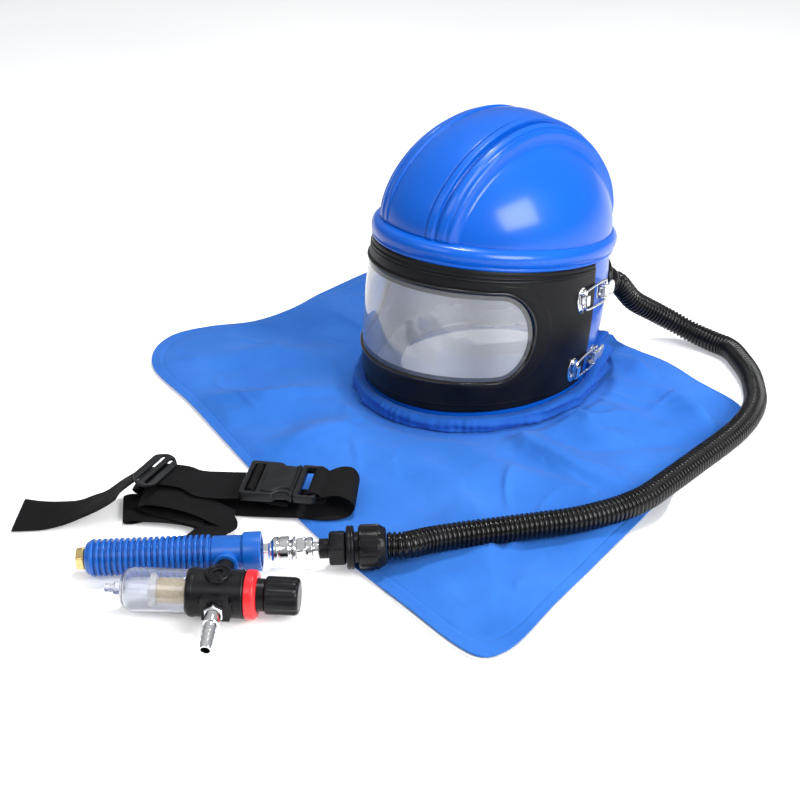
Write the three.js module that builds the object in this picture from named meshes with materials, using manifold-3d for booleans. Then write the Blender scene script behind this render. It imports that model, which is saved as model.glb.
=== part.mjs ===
// Sandblasting hood: a hard helmet with a wrap-round window, a two-layer cloth cape, an air hose with its
// finned cooler and filter regulator, and the waist belt that carries the cooler.
// Millimetres, +Z up. The helmet faces -Y, and the wearer's left side is towards +X.
import * as THREE from 'three';
import { mergeVertices } from 'three/addons/utils/BufferGeometryUtils.js';
import Module from 'manifold-3d';

const wasm = await Module();
wasm.setup();

// Driving dimensions

// Clearance between pieces that touch
const GAP = 0.3;

// Where the helmet's middle stands: the origin is on the floor under the middle of the whole part
const HELMET_X = -28.8;
const HELMET_Y = 189;

// Helmet shell and the rubber frame round its window
const RIM_HALF_LENGTH = 150;
const RIM_HALF_WIDTH = 127;
const RIM_HEIGHT = 24;
const BROW_HALF_LENGTH = 158;
const BROW_HALF_WIDTH = 121;
const BROW_SHIFT = -5;
const BROW_RISE = 149;
const BAND_HEIGHT = 23;
const BAND_PROUD = 2.5;
const LEAN = 9.5;
const CHEEK_BULGE = 5;
const SHELL_WALL = 3;
const SKIRT_BOTTOM = 6;
const FRAME_WALL = 3.7;
const FRAME_REACH = 107;

// Dome above the brow band and the crest over it
const DOME_HALF_LENGTH = 149;
const DOME_HALF_WIDTH = 117;
const DOME_SHIFT = -3;
const DOME_RISE = 117;
const DOME_FULLNESS = 1.8;
const CREST_HALF_WIDTH = 60;
const CREST_HEIGHT = 13;
const CREST_FOOT = 4;

// Window: reach in degrees to each side of the front, heights as shares of the frame's height
const WINDOW_REACH = 72.5;
const WINDOW_LOW = 0.2;
const WINDOW_HIGH = 0.87;
const WINDOW_END = 17;
const BEAD_WIDTH = 5;
const BEAD_PROUD = 2;
const LENS_THICKNESS = 2;

// Latches: heights as shares of the frame's height
const LATCH_LOW = 0.17;
const LATCH_HIGH = 0.74;
const LATCH_HALF_CELL = 0.15;
const PLATE_THICKNESS = 1.5;
const CATCH_WIDTH = 15;
const CATCH_HEIGHT = 31;
const CATCH_REACH = -5;
const HOOK_WIDTH = 13;
const WIRE_RADIUS = 1.1;
const WIRE_HEIGHT = 6;
const BAIL_HALF_WIDTH = 10;
const PIVOT_HEIGHT = 7.5;
const PIVOT_RADIUS = 1.3;
const LEVER_ARM = 8;
const LEVER_WIDTH = 12;
const LEVER_LENGTH = 27;
const PADDLE_WIDTH = 17;

// Neck: gathered band, inner collar
const BAND_BULGE = 15;
const NECK_BAND_TOP = 21;
const NECK_PLEATS = 16;
const PLEAT_DEPTH = 1.4;
const COLLAR_HOLE_HALF_LENGTH = 102;
const COLLAR_HOLE_HALF_WIDTH = 85;
const COLLAR_RISE = 30;

// Cape: two layers laid flat, with the neck opening through both
const CAPE_LENGTH = 700;
const CAPE_WIDTH = 560;
const CLOTH = 1.5;
const CAPE_FOLD = 9;
const CAPE_LIP = 7;
const LIP_BEARING = -20;
const NECK_HOLE_INSET = 14;

// Air hose and its port on the shell
const HOSE_RADIUS = 13.25;
const PORT_ANGLE = 154;
const PORT_SHARE = 0.62;
const PORT_FLANGE_RADIUS = 27;
const PORT_FLANGE_THICKNESS = 5;
const PORT_SPIGOT_RADIUS = 16.5;
const PORT_SPIGOT_LENGTH = 17;
const PORT_HEADING = { x: 0.25, y: 0.88, z: -0.4 };

// Hose middle line between its ends, as it lies over the floor and the cape
const HOSE_POINTS = [
  { x: 70, y: 198, z: 62 },
  { x: 84, y: 224, z: 43 },
  { x: 101, y: 242, z: 29.5 },
  { x: 123, y: 254, z: 19 },
  { x: 149, y: 259, z: 14.5 },
  { x: 176, y: 259, z: 14 },
  { x: 206, y: 242, z: 14 },
  { x: 234, y: 221, z: 14 },
  { x: 260, y: 193, z: 14.5 },
  { x: 283, y: 161, z: 18 },
  { x: 300, y: 124, z: 20 },
  { x: 310, y: 88, z: 21 },
  { x: 316, y: 51, z: 22 },
  { x: 320, y: 10, z: 22 },
  { x: 326, y: -52, z: 22 },
  { x: 329, y: -93, z: 22 },
  { x: 325, y: -125, z: 22 },
  { x: 317, y: -153, z: 22 },
  { x: 307, y: -178, z: 22 },
  { x: 295, y: -200, z: 22 },
  { x: 272, y: -241, z: 22 },
  { x: 249, y: -285, z: 23 },
  { x: 240, y: -308, z: 24.5 },
];

// Air line: the coupler and the cooler lie on one axis, which starts at the cooler's brass end
const AIR_LINE_X = 34;
const AIR_LINE_Y = -569;
const AIR_LINE_HEADING = 49.6;
const AIR_LINE_SLOPE = 1.7;
const COOLER_RADIUS = 17.8;
const COOLER_LENGTH = 165.5;
const COOLER_COLLAR_RADIUS = 19;
const COOLER_COLLAR_LENGTH = 17;
const COLLAR_RECESS = 3;
const FIN_COUNT = 21;
const FIN_PITCH = 5.4;
const FIN_DEPTH = 2.6;
const BRASS_LENGTH = 8.5;
const BRASS_RADIUS = 12;
const COUPLER_RADIUS = 13.2;
const GLAND_RADIUS = 21.5;
const GLAND_LENGTH = 27;

// Filter regulator, lying on the floor
const REGULATOR_X = 96;
const REGULATOR_Y = -577;
const REGULATOR_HEADING = 43.7;
const REGULATOR_RADIUS = 22.6;
const BOWL_RADIUS = 20.5;
const BOWL_WALL = 2;
const BOWL_START = 15.6;
const BOWL_LENGTH = 63;
const BODY_LENGTH = 52;
const PORT_OFFSET = 28;
const KNOB_RADIUS = 17.5;
const KNOB_LENGTH = 31;
const KNOB_STEM_RADIUS = 10.5;
const KNOB_STEM_SIDES = 12;
const BARB_DROOP = 13;

// Waist belt, its buckle and slider
const BELT_WIDTH = 50;
const BELT_THICKNESS = 1.8;
const BUCKLE_X = 69.5;
const BUCKLE_Y = -348;
const BUCKLE_Z = 20.5;
const BUCKLE_HEADING = 40;
const BUCKLE_WIDTH = 62;
const BUCKLE_THICKNESS = 11;
const SOCKET_LENGTH = 42;
const PLUG_LENGTH = 24;
const KEEPER_ROD_RADIUS = 2.6;
const SLIDER_X = -27;
const SLIDER_Y = -441;
const SLIDER_Z = 35;
const SLIDER_HEADING = 114;
const SLIDER_ROLL = 12;
const SLIDER_LENGTH = 60;
const SLIDER_WIDTH = 27;

// Webbing strands as they lie: each row is a back edge point and a front edge point
const BELT_STRANDS = [
  { name: 'belt_tail', rows: [
    { back: [-116, -544.5, 2], front: [-72, -584, 2] },
    { back: [-101, -534, 2], front: [-54, -560, 2] },
    { back: [-87, -520.8, 2.5], front: [-41.8, -541.5, 5.8] },
    { back: [-75, -504.4, 3], front: [-30.6, -524.5, 13.2] },
    { back: [-67.6, -490.9, 7], front: [-22.7, -510.7, 19.5] },
    { back: [-59.4, -480.5, 12], front: [-14.2, -498.2, 28.8] },
    { back: [-54, -463, 21], front: [-15, -491, 34] },
    { back: [-45.1, -423.2, 33.6], front: [-25.1, -467.8, 33] },
  ] },
  { name: 'belt_upper', rows: [
    { back: [-42, -424, 29.3], front: [-19, -455, 28.9] },
    { back: [-32, -416, 29.6], front: [-8, -447, 29] },
    { back: [-18, -404, 28], front: [9, -434, 27] },
    { back: [-9, -396, 24], front: [23, -430, 24] },
    { back: [4, -376, 20], front: [38, -414, 20.3] },
    { back: [23, -354.5, 18.9], front: [55, -393, 18.9] },
    { back: [33.5, -346, 18.9], front: [65.7, -384, 18.9] },
  ] },
  { name: 'belt_lower', rows: [
    { back: [-51, -426, 21.5], front: [-31, -460, 19] },
    { back: [-64, -429, 16], front: [-41, -462, 13] },
    { back: [-58, -424, 11], front: [-32, -458, 9.8] },
    { back: [-28, -394, 11], front: [4, -426, 9.8] },
    { back: [-5, -376, 13], front: [26, -413, 9.5] },
    { back: [25, -354, 16.6], front: [56, -391, 16.4] },
    { back: [62, -330, 16.6], front: [94, -366, 16.4] },
  ] },
  { name: 'belt_loop', rows: [
    { back: [81.3, -305.4, 26], front: [113.5, -343.8, 25.5] },
    { back: [90, -289, 30], front: [125, -326, 27] },
    { back: [99, -281, 28], front: [138, -318, 22] },
    { back: [104, -279, 19], front: [139, -316, 14] },
    { back: [106, -288, 10], front: [138, -322, 7.5] },
    { back: [97, -299, 6.3], front: [131, -336, 5.9] },
    { back: [68, -323, 6], front: [103, -362, 5.6] },
    { back: [27, -358, 5.6], front: [62, -395, 2.2] },
    { back: [1, -379, 1.7], front: [35, -416, 1.6] },
  ] },
  { name: 'belt_pile', rows: [
    { back: [-1.1, -380.8, 1.6], front: [32.9, -418, 1.6] },
    { back: [-18, -405, 1.5], front: [18, -440, 1.5] },
    { back: [-37, -440, 1.5], front: [4, -469, 1.5] },
    { back: [-46, -461, 1.5], front: [-4, -488, 1.5] },
    { back: [-50, -468, 3.6], front: [-8, -495, 3.6] },
    { back: [-45, -461, 6], front: [-3, -488, 6] },
    { back: [-31, -450, 6.6], front: [6, -482, 6.6] },
    { back: [-6, -429, 7], front: [28, -463, 7] },
    { back: [25, -408, 7], front: [50, -450, 7] },
    { back: [62, -408, 8], front: [56, -458, 8] },
    { back: [86, -422, 13], front: [62, -468, 12] },
    { back: [100.9, -447.4, 22.6], front: [68.5, -485.4, 21.2] },
  ] },
];

// Small helpers

const rad = (degrees) => THREE.MathUtils.degToRad(degrees);
const vec = (x, y, z) => new THREE.Vector3(x, y, z);

// Merges shared points, drops faces without area and turns the faces outward
function closed(geometry) {
  geometry.deleteAttribute('normal');
  geometry.deleteAttribute('uv');
  const merged = mergeVertices(geometry, 1e-3);
  const index = merged.index.array;
  const position = merged.attributes.position;
  const corner = [vec(), vec(), vec()];
  const kept = [];
  let volume = 0;
  for (let i = 0; i < index.length; i += 3) {
    const [a, b, c] = [index[i], index[i + 1], index[i + 2]];
    if (a === b || b === c || c === a) continue;
    kept.push(a, b, c);
    corner.forEach((point, k) => point.fromBufferAttribute(position, index[i + k]));
    volume += corner[0].dot(corner[1].clone().cross(corner[2]));
  }
  if (volume < 0) kept.reverse();
  merged.setIndex(kept);
  return merged;
}

// A closed body from points and triangles
function body(points, faces) {
  const geometry = new THREE.BufferGeometry().setFromPoints(points);
  geometry.setIndex(faces.flat());
  return closed(geometry);
}

function toSolid(geometry) {
  return new wasm.Manifold(new wasm.Mesh({
    numProp: 3,
    vertProperties: Float32Array.from(geometry.attributes.position.array),
    triVerts: Uint32Array.from(geometry.index.array),
  }));
}

function toGeometry(solid) {
  const mesh = solid.getMesh();
  const geometry = new THREE.BufferGeometry();
  geometry.setAttribute('position', new THREE.BufferAttribute(Float32Array.from(mesh.vertProperties), 3));
  geometry.setIndex(Array.from(mesh.triVerts));
  return closed(geometry);
}

const cut = (first, ...tools) => toGeometry(
  tools.reduce((solid, tool) => solid.subtract(toSolid(tool)), toSolid(first)));
const join = (first, ...others) => toGeometry(
  others.reduce((solid, other) => solid.add(toSolid(other)), toSolid(first)));

// Faces that close a ring of points by joining point i to point n - i
function ladder(start, count) {
  const faces = [];
  for (let i = 0; i < count / 2; i++) {
    const [a, b] = [start + i, start + i + 1];
    const [c, d] = [start + count - i - 1, start + (count - i) % count];
    faces.push([a, b, c], [a, c, d]);
  }
  return faces;
}

// Skins a row of rings with equal numbers of points; a round loft ends where it starts
function loft(rings, round = false) {
  const count = rings[0].length;
  const faces = [];
  rings.forEach((ring, r) => {
    if (!round && r === rings.length - 1) return;
    const [low, high] = [r * count, ((r + 1) % rings.length) * count];
    for (let i = 0; i < count; i++) {
      const j = (i + 1) % count;
      faces.push([low + i, low + j, high + j], [low + i, high + j, high + i]);
    }
  });
  if (!round) {
    ladder(0, count).forEach(([a, b, c]) => faces.push([a, c, b]));
    faces.push(...ladder((rings.length - 1) * count, count));
  }
  return body(rings.flat(), faces);
}

// A grid of points, row by row; a round grid joins the end of each row to its start
function grid(rows, round = false) {
  const count = rows[0].length;
  const faces = [];
  for (let r = 0; r < rows.length - 1; r++) {
    const [low, high] = [r * count, (r + 1) * count];
    for (let i = 0; i < (round ? count : count - 1); i++) {
      const j = (i + 1) % count;
      faces.push([low + i, low + j, high + j], [low + i, high + j, high + i]);
    }
  }
  return { points: rows.flat(), faces };
}

// A closed body from grids that share their edges; an inward grid has its faces turned round
function stitched(...skins) {
  const points = [];
  const faces = [];
  skins.forEach(({ points: own, faces: ownFaces, inward }) => {
    const start = points.length;
    points.push(...own);
    ownFaces.forEach(([a, b, c]) => {
      faces.push(inward ? [start + a, start + c, start + b] : [start + a, start + b, start + c]);
    });
  });
  return body(points, faces);
}

// A wall between two grids of points with the same triangles, closed round its edges
function walled(lower, upper, round = false) {
  const last = lower.length - 1;
  const side = (rows, i) => rows.map((row) => row[i]);
  const end = lower[0].length - 1;
  const skins = [
    grid(upper, round),
    { ...grid(lower, round), inward: true },
    grid([lower[0], upper[0]], round),
    { ...grid([lower[last], upper[last]], round), inward: true },
  ];
  if (round) return stitched(...skins);
  return stitched(
    ...skins,
    { ...grid([side(lower, 0), side(upper, 0)]), inward: true },
    grid([side(lower, end), side(upper, end)]),
  );
}

// An outline of points (x, y) drawn out along z from low to high
function plate(points, low, high, holes = []) {
  const shape = new THREE.Shape(points.map(([x, y]) => new THREE.Vector2(x, y)));
  shape.holes = holes.map((hole) => new THREE.Path(hole.map(([x, y]) => new THREE.Vector2(x, y))));
  const geometry = new THREE.ExtrudeGeometry(shape, { depth: high - low, bevelEnabled: false });
  return closed(geometry.translate(0, 0, low));
}

// A flat profile (x, z) drawn out along y, the same to both sides
function sideways(points, halfWidth) {
  return closed(plate(points, -halfWidth, halfWidth).rotateX(Math.PI / 2));
}

function block(x0, x1, y0, y1, z0, z1) {
  const geometry = new THREE.BoxGeometry(x1 - x0, y1 - y0, z1 - z0);
  return closed(geometry.translate((x0 + x1) / 2, (y0 + y1) / 2, (z0 + z1) / 2));
}

// A round or many-sided rod along y
function rodAlongY(radius, y0, y1, sides = 10) {
  return closed(new THREE.CylinderGeometry(radius, radius, y1 - y0, sides).translate(0, (y0 + y1) / 2, 0));
}

// A turned body about +Y from rows of { at, radius }; the first and last row lie on the axis
function turned(rows, sides = 16) {
  const points = rows.map(({ at, radius }) => new THREE.Vector2(radius, at));
  return closed(new THREE.LatheGeometry(points, sides));
}

// A turned solid whose ends are flat
function shaft(rows, sides = 16) {
  return turned([{ at: rows[0].at, radius: 0 }, ...rows, { at: rows[rows.length - 1].at, radius: 0 }], sides);
}

// A turned ring: the rows go round its section and return to the first
function turnedRing(rows, sides = 16) {
  return turned([...rows, rows[0]], sides);
}

// An ellipse outline, or a rectangle with its corners cut at 45 degrees
function ellipse(a, b, count) {
  return Array.from({ length: count }, (_, i) => [
    a * Math.cos((2 * Math.PI * i) / count),
    b * Math.sin((2 * Math.PI * i) / count),
  ]);
}

function cutRectangle(x0, x1, y0, y1, corner) {
  return [
    [x0 + corner, y0], [x1 - corner, y0], [x1, y0 + corner], [x1, y1 - corner],
    [x1 - corner, y1], [x0 + corner, y1], [x0, y1 - corner], [x0, y0 + corner],
  ];
}

function rectangle(x0, x1, y0, y1) {
  return [[x0, y0], [x1, y0], [x1, y1], [x0, y1]];
}

// Materials

const BLUE_SHELL = { color: 0x0a62e0, roughness: 0.25, metalness: 0 };
const BLUE_CLOTH = { color: 0x2f7df0, roughness: 0.85, metalness: 0 };
const DEEP_BLUE_CLOTH = { color: 0x1f62d6, roughness: 0.85, metalness: 0 };
const WHITE_CLOTH = { color: 0xe4e6ea, roughness: 0.9, metalness: 0 };
const BLACK_RUBBER = { color: 0x111214, roughness: 0.45, metalness: 0 };
const BLACK_PLASTIC = { color: 0x17181a, roughness: 0.4, metalness: 0 };
const BLACK_WEBBING = { color: 0x0d0d0e, roughness: 0.9, metalness: 0 };
const GREY_PLASTIC = { color: 0x5d6266, roughness: 0.5, metalness: 0 };
const CHROME = { color: 0xd8dadd, roughness: 0.15, metalness: 1 };
const BRASS = { color: 0xd9b765, roughness: 0.3, metalness: 1 };
const CLEAR_PLASTIC = { color: 0xf1f5f8, roughness: 0.05, metalness: 0, transparent: true, opacity: 0.35 };
const WHITE_PLASTIC = { color: 0xf0f0ee, roughness: 0.4, metalness: 0 };
const FILTER_TAN = { color: 0xe6cfa0, roughness: 0.9, metalness: 0 };
const RED_PLASTIC = { color: 0xe3262b, roughness: 0.4, metalness: 0 };

const part = new THREE.Group();
const stand = new THREE.Group();
stand.position.set(HELMET_X, HELMET_Y, 0);
part.add(stand);

// Adds one named piece to a group
function add(group, name, geometry, finish) {
  const mesh = new THREE.Mesh(geometry, new THREE.MeshStandardMaterial({ ...finish, flatShading: true }));
  mesh.name = name;
  group.add(mesh);
  return mesh;
}

// The helmet's surfaces: theta is the angle from the front, share the height on the frame, out the distance outward

function leaning(x, y, rise) {
  const [c, s] = [Math.cos(rad(LEAN)), Math.sin(rad(LEAN))];
  return vec(x, y * c + rise * s, RIM_HEIGHT + rise * c - y * s);
}

function facePoint(theta, share) {
  const [c, s] = [Math.cos(rad(theta)), Math.sin(rad(theta))];
  const low = vec(RIM_HALF_WIDTH * s, -RIM_HALF_LENGTH * c, RIM_HEIGHT);
  const high = leaning(BROW_HALF_WIDTH * s, BROW_SHIFT - BROW_HALF_LENGTH * c, BROW_RISE);
  return low.lerp(high, share);
}

function faceNormal(theta, share) {
  const along = facePoint(theta + 1, share).sub(facePoint(theta - 1, share));
  const up = facePoint(theta, 1).sub(facePoint(theta, 0));
  return along.cross(up).normalize();
}

function face(theta, share, out) {
  const bulge = CHEEK_BULGE * 4 * share * (1 - share);
  return facePoint(theta, share).addScaledVector(faceNormal(theta, share), out + bulge);
}

// The upright wall below the frame
function rim(theta, height, out) {
  return face(theta, 0, out).setZ(height);
}

function bandPoint(theta, rise, out) {
  const [c, s] = [Math.cos(rad(theta)), Math.sin(rad(theta))];
  return leaning((BROW_HALF_WIDTH + out) * s, BROW_SHIFT - (BROW_HALF_LENGTH + out) * c, rise);
}

// Crest across the dome: columns are shares of its half width and of its height
const CREST_SECTION = [
  { across: 0, height: 0.88 },
  { across: 0.53, height: 0.82 },
  { across: 0.58, height: 0.5 },
  { across: 0.66, height: 0.96 },
  { across: 0.88, height: 0.9 },
  { across: 1, height: 0 },
];

function crestShare(across) {
  const x = Math.min(Math.abs(across), 1);
  const next = CREST_SECTION.findIndex((row) => row.across >= x - 1e-9);
  if (next === 0) return CREST_SECTION[0].height;
  const [a, b] = [CREST_SECTION[next - 1], CREST_SECTION[next]];
  return THREE.MathUtils.mapLinear(x, a.across, b.across, a.height, b.height);
}

// A point of the dome: alpha to the side, psi from the front brow over the top to the back
function domePoint(alpha, psi, inset) {
  const [ca, sa] = [Math.cos(rad(alpha)), Math.sin(rad(alpha))];
  const [cp, sp] = [Math.cos(rad(psi)), Math.sin(rad(psi))];
  const normal = vec(sa / DOME_HALF_WIDTH, (-ca * cp) / DOME_HALF_LENGTH, (ca * sp) / DOME_RISE).normalize();
  const high = Math.max(ca * sp, 0);
  const wide = Math.sqrt(Math.max(1 - high ** 2, 1e-9)) ** (2 / DOME_FULLNESS - 1);
  const crest = CREST_FOOT + (CREST_HEIGHT - CREST_FOOT) * sp ** 0.7;
  const proud = inset > 0 ? 0 : crest * crestShare((DOME_HALF_WIDTH * sa) / CREST_HALF_WIDTH);
  const at = vec(
    (DOME_HALF_WIDTH - inset) * sa * wide,
    DOME_SHIFT - (DOME_HALF_LENGTH - inset) * ca * cp * wide,
    (DOME_RISE - inset) * high ** (2 / DOME_FULLNESS),
  ).addScaledVector(normal, proud);
  return leaning(at.x, at.y, BROW_RISE + BAND_HEIGHT + at.z);
}

// Stations to one side of the front: the crest's lines, the cheek down to the frame's end, and the side
const crestEdge = THREE.MathUtils.radToDeg(Math.asin(CREST_HALF_WIDTH / DOME_HALF_WIDTH));
const frameEnd = 180 - FRAME_REACH;
const sideStations = [
  ...CREST_SECTION.slice(1).map(({ across }) =>
    THREE.MathUtils.radToDeg(Math.asin((across * CREST_HALF_WIDTH) / DOME_HALF_WIDTH))),
  ...[1, 2].map((step) => crestEdge + ((frameEnd - crestEdge) * step) / 3),
  frameEnd,
  90,
];
const frontStations = [...sideStations.map((a) => -a).reverse(), 0, ...sideStations];
const thetaStations = [...frontStations, ...frontStations.slice(1, -1).reverse().map((a) => 180 - a)];
const frameStations = [
  -FRAME_REACH, ...frontStations, FRAME_REACH,
];
const frameShares = [0, 2 * LATCH_LOW, LATCH_HIGH - LATCH_HALF_CELL, LATCH_HIGH + LATCH_HALF_CELL, 1];

const SHELL_OUT = -FRAME_WALL - GAP;
const SHELL_IN = SHELL_OUT - SHELL_WALL;

// Window outline as rows of { theta, share }, from the wearer's right tip over the top and back below
const windowMid = (WINDOW_LOW + WINDOW_HIGH) / 2;
const frameHeight = facePoint(0, 1).distanceTo(facePoint(0, 0));
const tipScale = facePoint(WINDOW_REACH + 0.5, windowMid).distanceTo(facePoint(WINDOW_REACH - 0.5, windowMid));

function windowEdge(inset) {
  const reach = WINDOW_REACH - inset / tipScale;
  const half = (WINDOW_HIGH - WINDOW_LOW) / 2 - inset / frameHeight;
  const end = WINDOW_END - inset / tipScale;
  const straight = reach - end;
  const top = [];
  for (let i = 0; i <= 3; i++) {
    const turn = rad(30 * i);
    top.push({ theta: -straight - end * Math.cos(turn), share: half * Math.sin(turn) });
  }
  for (let i = 1; i <= 8; i++) {
    top.push({ theta: -straight + (2 * straight * i) / 8, share: half });
  }
  for (let i = 2; i >= 0; i--) {
    const turn = rad(30 * i);
    top.push({ theta: straight + end * Math.cos(turn), share: half * Math.sin(turn) });
  }
  const below = top.slice(1, -1).reverse().map(({ theta, share }) => ({ theta, share: -share }));
  return [...top, ...below].map(({ theta, share }) => ({ theta, share: windowMid + share }));
}

function windowRing(inset, out) {
  return windowEdge(inset).map(({ theta, share }) => face(theta, share, out));
}

const windowCutter = (inset) => loft([
  windowRing(inset, -30),
  windowRing(inset, -FRAME_WALL - 0.1),
  windowRing(inset, BEAD_PROUD),
  windowRing(inset, 15),
]);

// Helmet shell: outer wall from the skirt to the brow band, dome with its crest, and an inner wall
function domeGrid(stations, inset, steps) {
  return grid(stations.map((alpha) => Array.from({ length: steps + 1 },
    (_, k) => domePoint(alpha, (180 * k) / steps, inset))));
}

// A flat lid across a ring, from each front station to its partner at the back
function baseLid(stations, place) {
  return grid(stations.map((alpha) => [place(alpha), place(180 - alpha)]));
}

const bothHalves = (stations) => [...stations, ...stations.slice(1, -1).reverse().map((a) => 180 - a)];
const brow = BROW_RISE;
const domeRing = (inset, stations = frontStations) => [
  ...stations.map((alpha) => domePoint(alpha, 0, inset)),
  ...stations.slice(1, -1).reverse().map((alpha) => domePoint(alpha, 180, inset)),
];
const ringOf = (place) => thetaStations.map(place);
const bandRing = (rise, out) => ringOf((theta) => bandPoint(theta, rise, out));

const outerRings = [
  ringOf((theta) => rim(theta, SKIRT_BOTTOM, SHELL_OUT)),
  ...frameShares.map((share) => ringOf((theta) => face(theta, share, SHELL_OUT))),
  bandRing(brow + GAP, BAND_PROUD * 0.4),
  bandRing(brow + BAND_HEIGHT * 0.4, BAND_PROUD),
  bandRing(brow + BAND_HEIGHT * 0.9, BAND_PROUD * 0.4),
  domeRing(0),
];
const shellOutside = stitched(
  grid(outerRings, true),
  { ...domeGrid(frontStations, 0, 13), inward: true },
  baseLid(frontStations, (theta) => rim(theta, SKIRT_BOTTOM, SHELL_OUT)),
);

// The hollow inside has fewer stations than the outside
const hollowStations = [-90, -73, -55, -37, -18, 0, 18, 37, 55, 73, 90];
const hollowRing = (place) => bothHalves(hollowStations).map(place);
const shellHollow = stitched(
  grid([
    hollowRing((theta) => rim(theta, -5, SHELL_IN)),
    hollowRing((theta) => face(theta, 0, SHELL_IN)),
    hollowRing((theta) => face(theta, 0.5, SHELL_IN)),
    hollowRing((theta) => bandPoint(theta, brow, SHELL_IN)),
    domeRing(SHELL_WALL + 1, hollowStations),
  ], true),
  { ...domeGrid(hollowStations, SHELL_WALL + 1, 8), inward: true },
  baseLid(hollowStations, (theta) => rim(theta, -5, SHELL_IN)),
);
const shell = cut(shellOutside, shellHollow);
add(stand, 'helmet_shell', cut(shell, windowCutter(-1)), BLUE_SHELL);

// Rubber frame: a wall over the shell's front and sides, cut by the window
function frameWall() {
  const wall = (out) => frameShares.map((share, i) => {
    const top = i === frameShares.length - 1 ? GAP / frameHeight : 0;
    return frameStations.map((theta) => face(theta, share - top, out));
  });
  const outer = wall(0);
  const inner = wall(-FRAME_WALL);
  const last = frameShares.length - 1;
  const end = frameStations.length - 1;
  const column = (rows, i) => rows.map((row) => row[i]);
  return stitched(
    grid(outer),
    { ...grid(inner), inward: true },
    grid([inner[0], outer[0]]),
    grid([outer[last], inner[last]]),
    grid([column(outer, 0), column(inner, 0)]),
    grid([column(inner, end), column(outer, end)]),
  );
}
add(stand, 'window_frame', cut(frameWall(), windowCutter(0)), BLACK_RUBBER);

// Bead round the window opening, and the clear lens inside it
const beadSection = [
  { inset: GAP, out: -FRAME_WALL + GAP },
  { inset: GAP, out: BEAD_PROUD * 0.4 },
  { inset: GAP + BEAD_WIDTH * 0.5, out: BEAD_PROUD },
  { inset: GAP + BEAD_WIDTH, out: 0 },
  { inset: GAP + BEAD_WIDTH, out: -FRAME_WALL + GAP },
];
add(stand, 'window_bead', loft(beadSection.map(({ inset, out }) => windowRing(inset, out)), true), BLACK_RUBBER);

const lensInset = BEAD_WIDTH + 2.4 * GAP;
const lensBack = -FRAME_WALL + 2 * GAP;
add(stand, 'visor_lens', loft([
  windowRing(lensInset, lensBack),
  windowRing(lensInset, lensBack + LENS_THICKNESS),
]), CLEAR_PLASTIC);

// Latches: two on each side of the helmet

// A flat seat on the facet between two stations: x backward, z outward, the origin just clear of the facet
function seat(thetaA, thetaB, shareLow, shareHigh, out) {
  const corners = [
    face(thetaA, shareLow, out), face(thetaB, shareLow, out),
    face(thetaB, shareHigh, out), face(thetaA, shareHigh, out),
  ];
  const back = corners[1].clone().add(corners[2]).sub(corners[0]).sub(corners[3]).normalize();
  const up = corners[2].clone().add(corners[3]).sub(corners[0]).sub(corners[1]).normalize();
  const outward = back.clone().cross(up).multiplyScalar(Math.sign(thetaA)).normalize();
  const across = outward.clone().cross(back).normalize();
  const middle = corners.reduce((sum, corner) => sum.add(corner), vec(0, 0, 0)).multiplyScalar(0.25);
  const proud = Math.max(...corners.map((corner) => corner.clone().sub(middle).dot(outward)));
  middle.addScaledVector(outward, proud + GAP);
  return new THREE.Matrix4().makeBasis(back, across, outward).setPosition(middle);
}

function placed(group, matrix) {
  const holder = new THREE.Group();
  matrix.decompose(holder.position, holder.quaternion, holder.scale);
  group.add(holder);
  return holder;
}

const catchMiddle = (90 + FRAME_REACH) / 2;
const backStation = 180 - sideStations[sideStations.length - 3];

function catchPlate() {
  const outline = ellipse(CATCH_WIDTH / 2, CATCH_HEIGHT / 2, 12);
  const base = plate(outline, 0, PLATE_THICKNESS);
  const lipBottom = WIRE_HEIGHT + WIRE_RADIUS + 1;
  const post = WIRE_RADIUS + GAP;
  const hook = sideways([
    [post, PLATE_THICKNESS / 2], [post + 2.5, PLATE_THICKNESS / 2], [post + 2.5, lipBottom + 1.5],
    [-WIRE_RADIUS - 1.5, lipBottom + 1.5], [-WIRE_RADIUS - 1.5, lipBottom], [post, lipBottom],
  ], HOOK_WIDTH / 2);
  return join(base, hook);
}

const earInside = LEVER_WIDTH / 2 + GAP;
const earOutside = earInside + 1.4;
const earRadius = PIVOT_RADIUS + 2.6;
const baseFront = -earRadius - 2;
const baseBack = earRadius + 10;

function latchBase() {
  const base = plate(cutRectangle(baseFront, baseBack, -earOutside - 2, earOutside + 2, 2), 0, PLATE_THICKNESS);
  const earOutline = [
    [-earRadius, PLATE_THICKNESS / 2], [earRadius, PLATE_THICKNESS / 2],
    ...[0, 90, 180].map((turn) => [
      earRadius * Math.cos(rad(turn)), PIVOT_HEIGHT + earRadius * Math.sin(rad(turn)),
    ]),
  ];
  const earMiddle = (earInside + earOutside) / 2;
  const ear = (side) => sideways(earOutline, (earOutside - earInside) / 2).translate(0, side * earMiddle, 0);
  const bore = rodAlongY(PIVOT_RADIUS + 1.6 * GAP, -earOutside - 1, earOutside + 1, 6).translate(0, 0, PIVOT_HEIGHT);
  return cut(join(base, ear(1), ear(-1)), bore);
}

const bailPinHeight = PIVOT_HEIGHT - 0.5;
const leverSlot = WIRE_RADIUS + 1.6 * GAP;

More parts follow.
